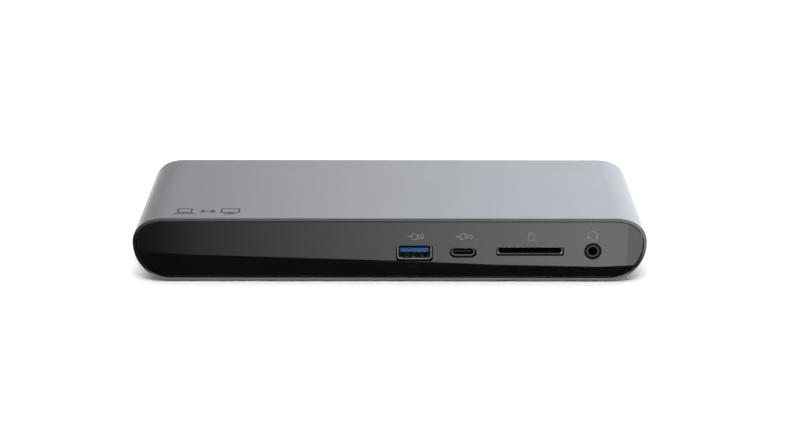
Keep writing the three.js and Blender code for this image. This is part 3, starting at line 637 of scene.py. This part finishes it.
def build_usb_a(prefix):
    place = socket_place(f"{prefix}_shell", USB_A_MOUTH[1] / 2 + SHEET)
    width, height = USB_A_MOUTH
    shell = bmesh.new()
    add_flared_tube(shell, rounded(width + 2 * SHEET, height + 2 * SHEET, 1.1), SHEET, USB_A_DEPTH, lift=0.3)
    floor = -height / 2
    fingers = (-3.0, 3.0)
    for x in fingers:
        window = bmesh.new()
        add_box(window, x - 1.55, x + 1.55, 1.5, 8.6, floor - 1, floor + 0.2)
        cut_away(shell, window)
    for x in fingers:
        add_finger(shell, x, floor - SHEET / 2)
    stand_in(f"{prefix}_shell", shell, [nickel], place)

    tongue = bmesh.new()
    low, _ = add_tongue(tongue, USB_A_TONGUE, 0.22)
    back = rounded(width - 2 * BLOCK_GAP, height - 2 * BLOCK_GAP, 0.3)
    add_plug(tongue, back, USB_A_TONGUE["root"], USB_A_DEPTH - BLOCK_GAP, 0.12, material=2)
    # Thin dark plastic sheets behind the fingers' windows: painted shade, so the windows show dark.
    for x in fingers:                                 # what shows through the fingers' windows
        add_box(tongue, x - 1.5, x + 1.5, 1.55, 8.55, floor - 0.28, floor - 0.23, material=2)
    add_contacts(tongue, (-3.5, -1.25, 1.25, 3.5), 1.0, 1.6, 8.2, low - 0.06, low + 0.1, 0.03)
    add_contacts(tongue, (-4.0, -2.0, 0.0, 2.0, 4.0), 0.6, 0.95, 1.45, low - 0.16, low + 0.1, 0.05)
    stand_in(f"{prefix}_tongue", tongue, [blue_plastic, gold, socket_plastic], place)


def build_usb_c(prefix):
    place = socket_place(f"{prefix}_shell", USB_C_MOUTH[1] / 2 + SHEET)
    width, height = USB_C_MOUTH
    shell = bmesh.new()
    add_flared_tube(shell, stadium(width + 2 * SHEET, height + 2 * SHEET, steps=14), SHEET, USB_C_DEPTH,
                    lip=0.12, mouth_wall=0.44, inner_lift=0.17)
    add_box(shell, -3, 3, 4, 7, -2.9, -height / 2 - 0.1, 0.1)
    # The shell's darkened nickel is painted shade.
    stand_in(f"{prefix}_shell", shell, [nickel_with_painted_shade], place)

    tongue = bmesh.new()
    root = USB_C_TONGUE["root"]
    back = stadium(width - 2 * BLOCK_GAP, height - 2 * BLOCK_GAP)
    places = [(index - 5.5) * 0.5 for index in range(12)]
    for face, side in zip(add_tongue(tongue, USB_C_TONGUE, 0.14, 0.5), (-1, 1)):
        z = face - side * 0.02
        add_contacts(tongue, places, 0.28, 1.25, 4.9, z - 0.04, z + 0.04)
    add_plug(tongue, back, root, USB_C_DEPTH - BLOCK_GAP, 0.1)
    add_plug(tongue, rounded(7.4, 1.7, 0.5), 4.9, root + 0.2, 0.1)
    stand_in(f"{prefix}_tongue", tongue, [socket_plastic, gold], place)


def build_display():
    place = socket_place("display_socket_shell", DISPLAY_MOUTH[1] / 2 + SHEET)
    width, height = DISPLAY_MOUTH
    chamfer = 2.2
    shell = bmesh.new()
    outer = keyed(width + 2 * SHEET, height + 2 * SHEET, chamfer)
    add_tube(shell, outer, SHEET, 0.0, DISPLAY_DEPTH, lip=0.12)
    stand_in("display_socket_shell", shell, [nickel], place)

    tongue = bmesh.new()
    places = [(index - 4.5) * 1.2 for index in range(10)]
    for face in add_tongue(tongue, DISPLAY_TONGUE, 0.15):
        add_contacts(tongue, places, 0.44, 1.6, 10.9, face - 0.05, face + 0.05)
    back = keyed(width - 2 * BLOCK_GAP, height - 2 * BLOCK_GAP, chamfer)
    add_plug(tongue, back, DISPLAY_TONGUE["root"], DISPLAY_DEPTH - BLOCK_GAP, 0.1)
    stand_in("display_socket_tongue", tongue, [socket_plastic, gold], place)


def build_ethernet():
    size = size_of("ethernet_socket_shell")
    place = socket_place("ethernet_socket_shell", size.z / 2)
    shell = bmesh.new()
    add_tube(shell, rounded(size.x, size.z, 0.4), SHEET, 0.0, size.y, lip=0.12)
    for side in (-1, 1):
        line = [(1.0, 0.0), (2.4, 0.35), (4.2, 0.45), (5.6, 0.1)]
        add_strip(shell, line, 2.2, 0.2, side * 4.2, size.z / 2 - 0.1)
    stand_in("ethernet_socket_shell", shell, [nickel], place)

    bay = ETHERNET_BAY
    inset = SHEET + 0.1
    insert = bmesh.new()
    add_plug(insert, rounded(size.x - 2 * inset, size.z - 2 * inset, 0.2), 0.15, size.y - 0.1, 0.12)
    bay_bottom = bay["rise"] - bay["height"] / 2
    bay_top = bay["rise"] + bay["height"] / 2
    for width, depth, bottom, top in (
            (bay["width"], bay["depth"], bay_bottom, bay_top),
            (bay["key_width"], bay["depth"] - 0.5, bay_bottom - bay["key_drop"], bay_bottom + 0.5)):
        cavity = bmesh.new()
        add_box(cavity, -width / 2, width / 2, -1, depth, bottom, top)
        cut_away(insert, cavity)
    for index in range(8):
        x = (index - 3.5) * 1.02
        line = [(13.8, -0.2), (9.0, -0.6), (5.0, -1.9), (3.2, -2.7), (2.4, -2.5), (2.0, -1.6), (1.9, -0.1)]
        add_strip(insert, line, 0.45, 0.25, x, bay_top, material=1)
    lamp_z = size.z / 2 - 2.3
    for side, lamp in ((-1, 2), (1, 3)):
        x = side * (size.x / 2 - 1.75)
        add_box(insert, x - 0.8, x + 0.8, 0.02, 1.5, lamp_z - 1.0, lamp_z + 1.0, 0.1, lamp)
    stand_in("ethernet_socket_insert", insert, [socket_plastic, gold, lamp_green, lamp_amber], place)


def add_round_body(bm, size, nose, bore, bore_depth, counterbore=None):
    """A moulded socket body: a block with a round nose in front of it and a blind bore down the middle."""
    step = 3.2
    inner = nose - bore
    corners = [(inner, bore_depth, 0, 0), (inner, 0.0, 0.15, 0)]
    if counterbore:
        ring, ring_depth = counterbore
        seat = nose - ring
        corners[1:] = [(inner, ring_depth, 0, 0), (seat, ring_depth, 0, 0), (seat, 0.0, 0.08, 0)]
    corners += [(0.0, 0.0, 0.15, 0), (0.0, step, 0, 0)]
    rings = sweep(bm, circle(nose), fillet(corners, closed=False), closed=False)
    fill(bm, [rings[0]])
    add_plate(bm, rounded(size.x, size.z, 0.3), [circle(nose * 0.98)], step, size.y, 0.1, 0.0)


def build_power():
    size = size_of("power_socket_body")
    place = socket_place("power_socket_body", size.z / 2)
    body = bmesh.new()
    add_round_body(body, size, POWER_NOSE, POWER_BORE, 9.6)
    stand_in("power_socket_body", body, [socket_plastic], place)
    pin = bmesh.new()
    add_plug(pin, circle(1.25, steps=32), 0.9, 12.0, 0.45)
    stand_in("power_socket_pin", pin, [nickel], place)


def build_audio():
    size = size_of("audio_socket_body")
    place = socket_place("audio_socket_body", size.z / 2)
    ring_radius = 2.35
    body = bmesh.new()
    add_round_body(body, size, AUDIO_NOSE, AUDIO_BORE, 12.0, counterbore=(ring_radius + 0.1, 0.8))
    stand_in("audio_socket_body", body, [dull_black], place)
    ring = bmesh.new()
    width = ring_radius - AUDIO_BORE
    corners = [(0.0, 0.02, 0.12, 0), (width, 0.02, 0.2, 0), (width, 0.7, 0, 0), (0.0, 0.7, 0, 0)]
    sweep(ring, circle(ring_radius), fillet(corners))
    stand_in("audio_socket_ring", ring, [ring_metal], place)


# ------------ card socket and its ejector
def card_place():
    """The card socket's box is wider on the ejector's side, so its middle is measured from the other side."""
    low, _ = box("card_socket_shell")
    middle = low.x + CARD_SHEET + CARD_RAIL + CARD_MOUTH / 2
    return socket_place("card_socket_shell", CARD_HEIGHT / 2, x=middle)


def build_card_socket():
    place = card_place()
    back = 32.0
    half = CARD_MOUTH / 2 + CARD_RAIL
    channel = half + 3.4
    neck = 3.2
    inner = CARD_HEIGHT / 2 - CARD_SHEET
    shell = bmesh.new()
    add_tube(shell, rounded(2 * (half + CARD_SHEET), CARD_HEIGHT, 0.55), CARD_SHEET, 0.0, neck, lip=0.1)
    wide = half + channel + 2 * CARD_SHEET
    offset = (channel - half) / 2
    add_tube(shell, rounded(wide, CARD_HEIGHT, 0.3, x=offset), CARD_SHEET, neck + 0.05, back)
    wedge = [(0.0, 1.25), (0.09, 0.6), (0.3, 0.28), (0.6, 0.1), (1.0, 0.0), (0.0, 0.0)]
    wedge_size = 1.1
    for side in (-1, 1):
        rings = [[shell.verts.new((side * (half - across * wedge_size), y, -inner + up * wedge_size))
                  for across, up in wedge] for y in (0.06, 2.2)]
        skin(shell, rings, material=1)
    for x0, x1 in ((-half - CARD_SHEET, -half + 1), (channel - 1, channel + CARD_SHEET)):
        for y in (6, 26):
            add_box(shell, x0, x1, y, y + 2, -4.0, -inner - 0.1, 0.05)
    stand_in("card_socket_shell", shell, [steel, nickel], place)

    base = bmesh.new()
    gap = 0.05
    floor = -0.95
    low, high = -inner + gap, inner - gap
    mouth = CARD_MOUTH / 2
    edge = 0.05
    add_box(base, -half + gap, half - gap, 0.4, back - gap, low, floor, edge)
    add_box(base, half - gap, channel - gap, neck + CARD_SHEET + gap, back - gap, low, floor, edge)
    add_box(base, -half + gap, -mouth, 2.3, back - gap, low, high, edge)
    add_box(base, mouth, half - gap, 2.3, 19.6, low, high, edge)
    add_box(base, -half + gap, channel - gap, 30.8, back - gap, low, high, edge)
    for index in range(9):
        x = (index - 4) * 2.5
        line = [(22.0, 0.05), (14.0, 0.12), (7.6, 0.5), (6.2, 0.66), (5.2, 0.55), (4.4, 0.2)]
        add_strip(base, line, 0.9, 0.14, x, floor, material=1)
    for x in (-9.0, 8.5):
        add_box(base, x - 1.4, x + 1.4, 3.0, 6.5, floor - gap, floor + 0.12, 0.04)
    stand_in("card_socket_base", base, [socket_plastic, gold], place)


def build_ejector():
    """The slider rides on its own body; the spring is a coil of wire that fills its box and stays on the
    case.
    """
    low, high = box("card_ejector_slider")
    slider = bmesh.new()
    bar_left = high.x - 3.0
    edge = 0.15
    add_box(slider, bar_left, high.x, low.y, high.y, low.z, high.z, edge)
    add_box(slider, low.x, bar_left + 0.5, high.y - 1.6, high.y, low.z, high.z, edge)
    for index in range(5):
        y = low.y + 1.5 + 1.6 * index
        add_box(slider, bar_left + 0.5, high.x - 0.5, y, y + 0.7, high.z - 0.05, high.z + 0.08, 0.03)
    stand_in("card_ejector_slider", slider, [socket_plastic], body="card_ejector")

    low, high = box("card_ejector_spring")
    wire = 0.13
    coil_radius = (high.x - low.x) / 2 - wire
    centre = (low + high) / 2
    turns, sides, steps = 11, 8, 20
    start, length = low.y + wire, high.y - low.y - 2 * wire
    spring = bmesh.new()
    rings = []
    for step in range(turns * steps + 1):
        share = step / (turns * steps)
        angle = 2 * math.pi * turns * share
        radial = Vector((math.cos(angle), 0, math.sin(angle)))
        middle = Vector((centre.x, start + length * share, centre.z)) + radial * coil_radius
        around = [2 * math.pi * side / sides for side in range(sides)]
        rings.append([spring.verts.new(middle + radial * wire * math.cos(a)
                                       + Vector((0, wire * math.sin(a), 0))) for a in around])
    skin(spring, rings)
    coil = stand_in("card_ejector_spring", spring, [steel])
    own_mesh(coil)


# ------------ markings
PRINT = 0.03
LINE = 0.28


def mark_frame(bm, outline, line=LINE):
    """The outline drawn as a line of even width."""
    sweep(bm, outline, [(0.0, -PRINT, 0), (line, -PRINT, 0), (line, PRINT, 0), (0.0, PRINT, 0)])


def mark_solid(bm, outline):
    add_plate(bm, outline, [], -PRINT, PRINT, 0)


def mark_line(bm, points, line=LINE, closed=False):
    """A line of even width through the points, with mitred corners."""
    count = len(points)
    left, right = [], []
    for index in range(count):
        here = Vector(points[index])
        before = Vector(points[index - 1]) if index or closed else None
        after = Vector(points[(index + 1) % count]) if index < count - 1 or closed else None
        into = (here - before).normalized() if before is not None else (after - here).normalized()
        out = (after - here).normalized() if after is not None else into
        normal = Vector((-(into + out).y, (into + out).x)).normalized()
        reach = line / 2 / max(normal.dot(Vector((-into.y, into.x))), 0.4)
        left.append(here + normal * reach)
        right.append(here - normal * reach)
    rows = [[bm.verts.new((p.x, y, p.y)) for p, y in ((a, -PRINT), (b, -PRINT), (b, PRINT), (a, PRINT))]
            for a, b in zip(left, right)]
    skin(bm, rows, closed=closed)


def arc_points(radius, start, end, x=0.0, z=0.0, steps=18):
    angles = [math.radians(start + (end - start) * step / steps) for step in range(steps + 1)]
    return [(x + radius * math.cos(a), z + radius * math.sin(a)) for a in angles]


def mark_plug(bm):
    """A cable plug: lead, grip and metal end with two windows."""
    mark_line(bm, [(-3.1, 0), (-1.6, 0)], 0.4)
    mark_frame(bm, rounded(2.3, 2.5, 0.4, -0.45, 0))
    mark_frame(bm, rounded(2.3, 1.7, 0.1, 1.95, 0))
    for z in (-0.36, 0.36):
        mark_solid(bm, rounded(0.42, 0.3, 0.05, 2.1, z, steps=2))


def mark_oval_plug(bm):
    """An oval plug: lead, grip and rounded end."""
    mark_line(bm, [(-3.3, 0), (-1.8, 0)], 0.4)
    mark_frame(bm, rounded(2.3, 2.5, 0.4, -0.65, 0))
    mark_frame(bm, stadium(2.7, 1.5, 1.95, 0))
    mark_solid(bm, rounded(1.1, 0.24, 0.1, 2.0, 0, steps=2))


def mark_card(bm):
    """A memory card with a cut corner and a row of contacts."""
    mark_line(bm, [(-1.2, -1.5), (-1.2, 1.5), (0.5, 1.5), (1.2, 0.8), (1.2, -1.5)], closed=True)
    for x in (-0.6, -0.1, 0.4):
        mark_solid(bm, rounded(0.24, 0.8, 0.05, x, 0.75, steps=2))


def mark_headset(bm):
    """Headphones with a microphone arm."""
    mark_line(bm, arc_points(1.75, 0, 180, z=0.1), 0.34)
    for side in (-1, 1):
        mark_solid(bm, rounded(0.85, 1.5, 0.35, side * 1.65, -0.55))
    mark_line(bm, [(1.75, -1.2), (1.45, -1.75), (0.5, -1.9)], 0.26)
    mark_solid(bm, stadium(0.9, 0.5, 0.25, -1.9, steps=6))


def mark_display(bm):
    """A monitor on its stand."""
    mark_frame(bm, rounded(4.2, 2.6, 0.3, 0, 0.35))
    mark_line(bm, [(0, -0.95), (0, -1.5)], 0.5)
    mark_line(bm, [(-1.1, -1.6), (1.1, -1.6)])


def mark_laptop(bm):
    """An open laptop seen from the front."""
    mark_frame(bm, rounded(4.0, 2.6, 0.3, 0, 0.4))
    mark_line(bm, [(-2.9, -1.3), (2.9, -1.3)], 0.42)


def mark_network(bm):
    """Three boxes joined by lines."""
    for x, z in ((0, 1.2), (-1.7, -1.2), (1.7, -1.2)):
        mark_frame(bm, rounded(1.3, 1.0, 0.1, x, z, steps=2), 0.24)
    mark_line(bm, [(0, 0.7), (0, 0.0)], 0.24)
    mark_line(bm, [(-1.7, -0.7), (-1.7, 0.0), (1.7, 0.0), (1.7, -0.7)], 0.24)


def mark_power(bm):
    """A solid line over a broken one: direct current."""
    mark_line(bm, [(-1.8, 0.5), (1.8, 0.5)], 0.32)
    for x in (-1.35, 0.0, 1.35):
        mark_line(bm, [(x - 0.4, -0.5), (x + 0.4, -0.5)], 0.32)


def build_marking(name, draw, place, material):
    bm = bmesh.new()
    draw(bm)
    make_piece(name, bm, [material], place=place)


def build_markings():
    front_y = box("front_panel")[0].y
    icon_z = 18.6
    front = (("usb_a_mark", mark_plug, middle_of("usb_a_front_shell").x + 0.5, icon_z),
             ("usb_c_mark", mark_oval_plug, middle_of("usb_c_front_shell").x + 0.5, icon_z),
             ("card_mark", mark_card, card_place().translation.x + 0.4, icon_z),
             ("headset_mark", mark_headset, middle_of("audio_socket_body").x - 0.25, icon_z + 0.3))
    for name, draw, x, z in front:
        build_marking(name, draw, Matrix.Translation((x, front_y, z)), ink)
    rear_y = box("rear_panel")[1].y
    rear_icon_z = 17.6
    rear = [("host_mark", mark_laptop, "usb_c_rear_1_shell"),
            ("usb_c_rear_mark", mark_oval_plug, "usb_c_rear_2_shell"),
            ("display_mark", mark_display, "display_socket_shell"),
            ("power_mark", mark_power, "power_socket_body")]
    rear += [(f"usb_a_rear_mark_{i}", mark_plug, f"usb_a_rear_{i}_shell") for i in (1, 2, 3)]
    turn = Matrix.Rotation(math.pi, 4, "Z")
    for name, draw, node in rear:
        z = rear_icon_z if node != "power_socket_body" else 21.0
        at = Matrix.Translation((middle_of(node).x, rear_y, z))
        build_marking(name, draw, at @ turn, ink)
    low, _ = box("ethernet_socket_shell")
    at = Matrix.Translation((low.x - 4.6, rear_y, middle_of("ethernet_socket_shell").z))
    build_marking("network_mark", mark_network, at @ turn, ink)


def mark_dock(bm):
    """A laptop, a double arrow and a monitor in a row: what the station joins."""
    mark_frame(bm, rounded(6.4, 5.6, 0.6, -9.6, 0.9, steps=4), 0.75)
    mark_line(bm, [(-14.0, -2.9), (-5.2, -2.9)], 1.1)
    mark_line(bm, [(-2.6, 0), (2.6, 0)], 0.9)
    for side in (-1, 1):
        mark_line(bm, [(side * 1.4, 1.8), (side * 3.0, 0), (side * 1.4, -1.8)], 0.8)
    mark_frame(bm, rounded(8.0, 5.8, 0.6, 9.4, 0.9, steps=4), 0.75)
    mark_line(bm, [(9.4, -2.0), (9.4, -3.0)], 1.4)
    mark_line(bm, [(7.0, -3.1), (11.8, -3.1)], 0.9)


def build_top_mark():
    middle_x, from_front, size = -71.2, 9.2, 0.94
    at = Matrix.Translation((middle_x, -HALF_DEPTH + from_front, CASE_TOP)) @ Matrix.Scale(size, 4)
    build_marking("top_mark", mark_dock, at @ LIE_FLAT, etching)


# ------------ stage
def show_only_in_gloss(obj):
    """A studio card that is seen in reflections and nowhere else."""
    for ray in ("camera", "diffuse", "transmission", "volume_scatter", "shadow"):
        setattr(obj, f"visible_{ray}", False)


def glowing(name, strength=1.0):
    """A material that only emits light. Gives it and the socket for its colour."""
    material = bpy.data.materials.new(name)
    material.use_nodes = True
    material.node_tree.nodes.clear()
    emission = add_node(material, "Emission", Strength=strength)
    add_node(material, "OutputMaterial", {"Surface": emission.outputs["Emission"]})
    return material, emission.inputs["Color"]


def emission_ramp(name, stops, axis):
    """Emission that follows the object's own coordinate, scaled 0 to 1 over its box, through the stops."""
    material, color = glowing(name)
    coordinates = add_node(material, "TexCoord")
    separate = add_node(material, "SeparateXYZ", {"Vector": coordinates.outputs["Generated"]})
    material.node_tree.links.new(add_ramp(material, separate.outputs[axis], stops), color)
    return material


def flat_object(name, points, material, faces=None):
    """A flat part of the stage: one face through all the points, unless faces says otherwise."""
    mesh = bpy.data.meshes.new(name)
    mesh.from_pydata(points, [], faces or [range(len(points))])
    mesh.materials.append(material)
    obj = bpy.data.objects.new(name, mesh)
    scene.collection.objects.link(obj)
    return obj


def grey(value):
    return (value, value, value)


FLOOR_COLOR = 0.88
FLOOR_SIZE = 12.0
CAMERA_PLACE = CAMERA_TARGET - CAMERA_DISTANCE * Vector((
    -math.sin(CAMERA_TURN) * math.cos(CAMERA_ELEVATION), math.cos(CAMERA_TURN) * math.cos(CAMERA_ELEVATION),
    -math.sin(CAMERA_ELEVATION)))
CARD_REACH = 0.32        # how far the floor cards go on each side, as seen mirrored in the panel
CARD_NEAR_Y = -0.043
CARD_FAR_Y = -0.60
BLACK_CARD_Z = 0.0004
LIT_CARD_Z = 0.0006
# Along the panel's x: the height in mm on it where the lit card begins, and how bright the card is.
GLOW_EDGE = ((-0.32, 12.5), (-0.097, 11.9), (-0.082, 10.7), (0.0, 8.2), (0.043, 6.42), (0.082, 5.65),
             (0.097, 6.4), (0.32, 6.5))
GLOW = ((-0.32, 0.02), (-0.098, 0.02), (-0.0895, 0.045), (-0.074, 0.155), (0.08, 1.0), (0.0925, 1.0))
GLOW_STEP = ((0.0925, 0.8), (0.32, 0.8))
GLOW_STRENGTH = 1.28


def mirrored(x, y, face):
    """Where a camera ray that meets the panel at x lands on the floor, once it has gone out to y."""
    return x + (x - CAMERA_PLACE.x) * (face - y) / (face - CAMERA_PLACE.y)


def interpolate(pairs, x):
    for (x0, v0), (x1, v1) in zip(pairs, pairs[1:]):
        if x <= x1:
            return v0 + (v1 - v0) * (x - x0) / (x1 - x0)
    return pairs[-1][1]


def build_floor():
    material = new_material("floor", grey(FLOOR_COLOR), 0.9)
    half = FLOOR_SIZE / 2
    flat_object("floor", [(-half, -half, 0), (half, -half, 0), (half, half, 0), (-half, half, 0)], material)


def build_front_cards():
    """Two cards lie on the floor in front of the station, for its gloss only: a black one against it,
    and past that a lit one that grows brighter to the right. The panel mirrors their meeting edge."""
    black = new_material("black card", grey(0.0), 1.0, Specular_IOR_Level=0.0)
    corners = [(-CARD_REACH, CARD_FAR_Y), (CARD_REACH, CARD_FAR_Y), (CARD_REACH, CARD_NEAR_Y),
               (-CARD_REACH, CARD_NEAR_Y)]
    show_only_in_gloss(flat_object("black_card", [(x, y, BLACK_CARD_Z) for x, y in corners], black))
    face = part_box("front_panel")[0].y
    points, faces, glows = [], [], []
    for pairs in (GLOW, GLOW_STEP):
        first, last = pairs[0][0], pairs[-1][0]
        stops = sorted({x for x, _ in pairs} | {x for x, _ in GLOW_EDGE if first < x < last})
        for left, right in zip(stops, stops[1:]):
            faces.append(range(len(points), len(points) + 4))
            for x, far in ((left, True), (right, True), (right, False), (left, False)):
                height = interpolate(GLOW_EDGE, x) * MM
                near_y = face + (CAMERA_PLACE.y - face) * height / (CAMERA_PLACE.z - height)
                y = CARD_FAR_Y if far else near_y
                points.append((mirrored(x, y, face), y, LIT_CARD_Z))
                glows.append(interpolate(pairs, x))
    material, color = glowing("lit card", GLOW_STRENGTH)
    attribute = add_node(material, "Attribute")
    attribute.attribute_name = "glow"
    material.node_tree.links.new(attribute.outputs["Color"], color)
    lit = flat_object("lit_card", points, material, faces)
    glow = lit.data.color_attributes.new("glow", "FLOAT_COLOR", "POINT")
    for index, value in enumerate(glows):
        glow.data[index].color = (*grey(value), 1.0)
    show_only_in_gloss(lit)


def build_tall_cards():
    """Tall cards all round, for gloss only. The case's top mirrors the back one, dim left, bright right."""
    half, side, bottom, top = 1.2, 1.6, 0.01, 1.1
    back_y, front_y, side_y = 0.55, -1.5, (-1.4, 0.5)
    back = [(0.0, grey(0.335)), (0.42, (0.39, 0.39, 0.397)), (0.58, (1.02, 1.06, 1.11)),
            (1.0, (1.88, 1.93, 2.01))]
    front = [(0.0, grey(0.08)), (0.5, grey(0.6)), (1.0, grey(1.9))]
    left, right = ([(0.0, grey(value)), (1.0, grey(value))] for value in (0.4, 1.1))
    for name, stops, axis, (x0, x1), (y0, y1) in (
            ("back_card", back, "X", (-half, half), (back_y, back_y)),
            ("front_card", front, "X", (-half, half), (front_y, front_y)),
            ("left_card", left, "Y", (-side, -side), side_y),
            ("right_card", right, "Y", (side, side), side_y)):
        points = [(x0, y0, bottom), (x1, y1, bottom), (x1, y1, top), (x0, y0, top)]
        show_only_in_gloss(flat_object(name, points, emission_ramp(name, stops, axis)))


WORLD_LIGHT = 0.22


def build_world():
    world = bpy.data.worlds.new("studio")
    world.use_nodes = True
    background = world.node_tree.nodes["Background"]
    background.inputs["Color"].default_value = (0.96, 0.97, 1.0, 1.0)
    background.inputs["Strength"].default_value = WORLD_LIGHT
    scene.world = world


def add_area_light(name, place, target, size, power, unseen):
    """An area light that the camera and one more kind of ray don't see."""
    light = bpy.data.lights.new(name, "AREA")
    light.shape = "RECTANGLE"
    light.size, light.size_y = size
    light.energy = power
    obj = bpy.data.objects.new(name, light)
    obj.location = place
    obj.rotation_euler = (Vector(target) - Vector(place)).to_track_quat("-Z", "Y").to_euler()
    scene.collection.objects.link(obj)
    obj.visible_camera = False
    setattr(obj, f"visible_{unseen}", False)


def build_lights():
    """Places and sizes in metres, powers in watts."""
    add_area_light("overhead softbox", (0.0, 0.25, 1.2), (0, 0.25, 0), (2.0, 2.0), 12.0, "diffuse")
    add_area_light("ceiling", (0.0, 0.4, 2.6), (0, 0.4, 0), (3.4, 3.4), 107.0, "glossy")
    add_area_light("front softbox", (0.0, -0.75, 1.1), (0, 0, 0), (0.6, 0.4), 8.0, "glossy")


def build_camera():
    forward = (CAMERA_TARGET - CAMERA_PLACE).normalized()
    data = bpy.data.cameras.new("camera")
    data.sensor_width = SENSOR_WIDTH
    data.lens = CAMERA_LENS
    data.clip_start, data.clip_end = 0.01, 50.0
    camera = bpy.data.objects.new("camera", data)
    camera.location = CAMERA_PLACE
    camera.rotation_euler = forward.to_track_quat("-Z", "Y").to_euler()
    scene.collection.objects.link(camera)
    scene.camera = camera


scene.view_settings.view_transform = "Standard"
build_camera()
build_sleeve()
build_foot_pad()
build_front_panel()
build_rear_panel()
build_usb_a("usb_a_front")
build_usb_c("usb_c_front")
build_card_socket()
build_ejector()
build_audio()
build_power()
build_display()
build_ethernet()
for number in (1, 2):
    build_usb_c(f"usb_c_rear_{number}")
for number in (1, 2, 3):
    build_usb_a(f"usb_a_rear_{number}")
build_markings()
build_top_mark()
build_floor()
build_front_cards()
build_tall_cards()
build_world()
build_lights()
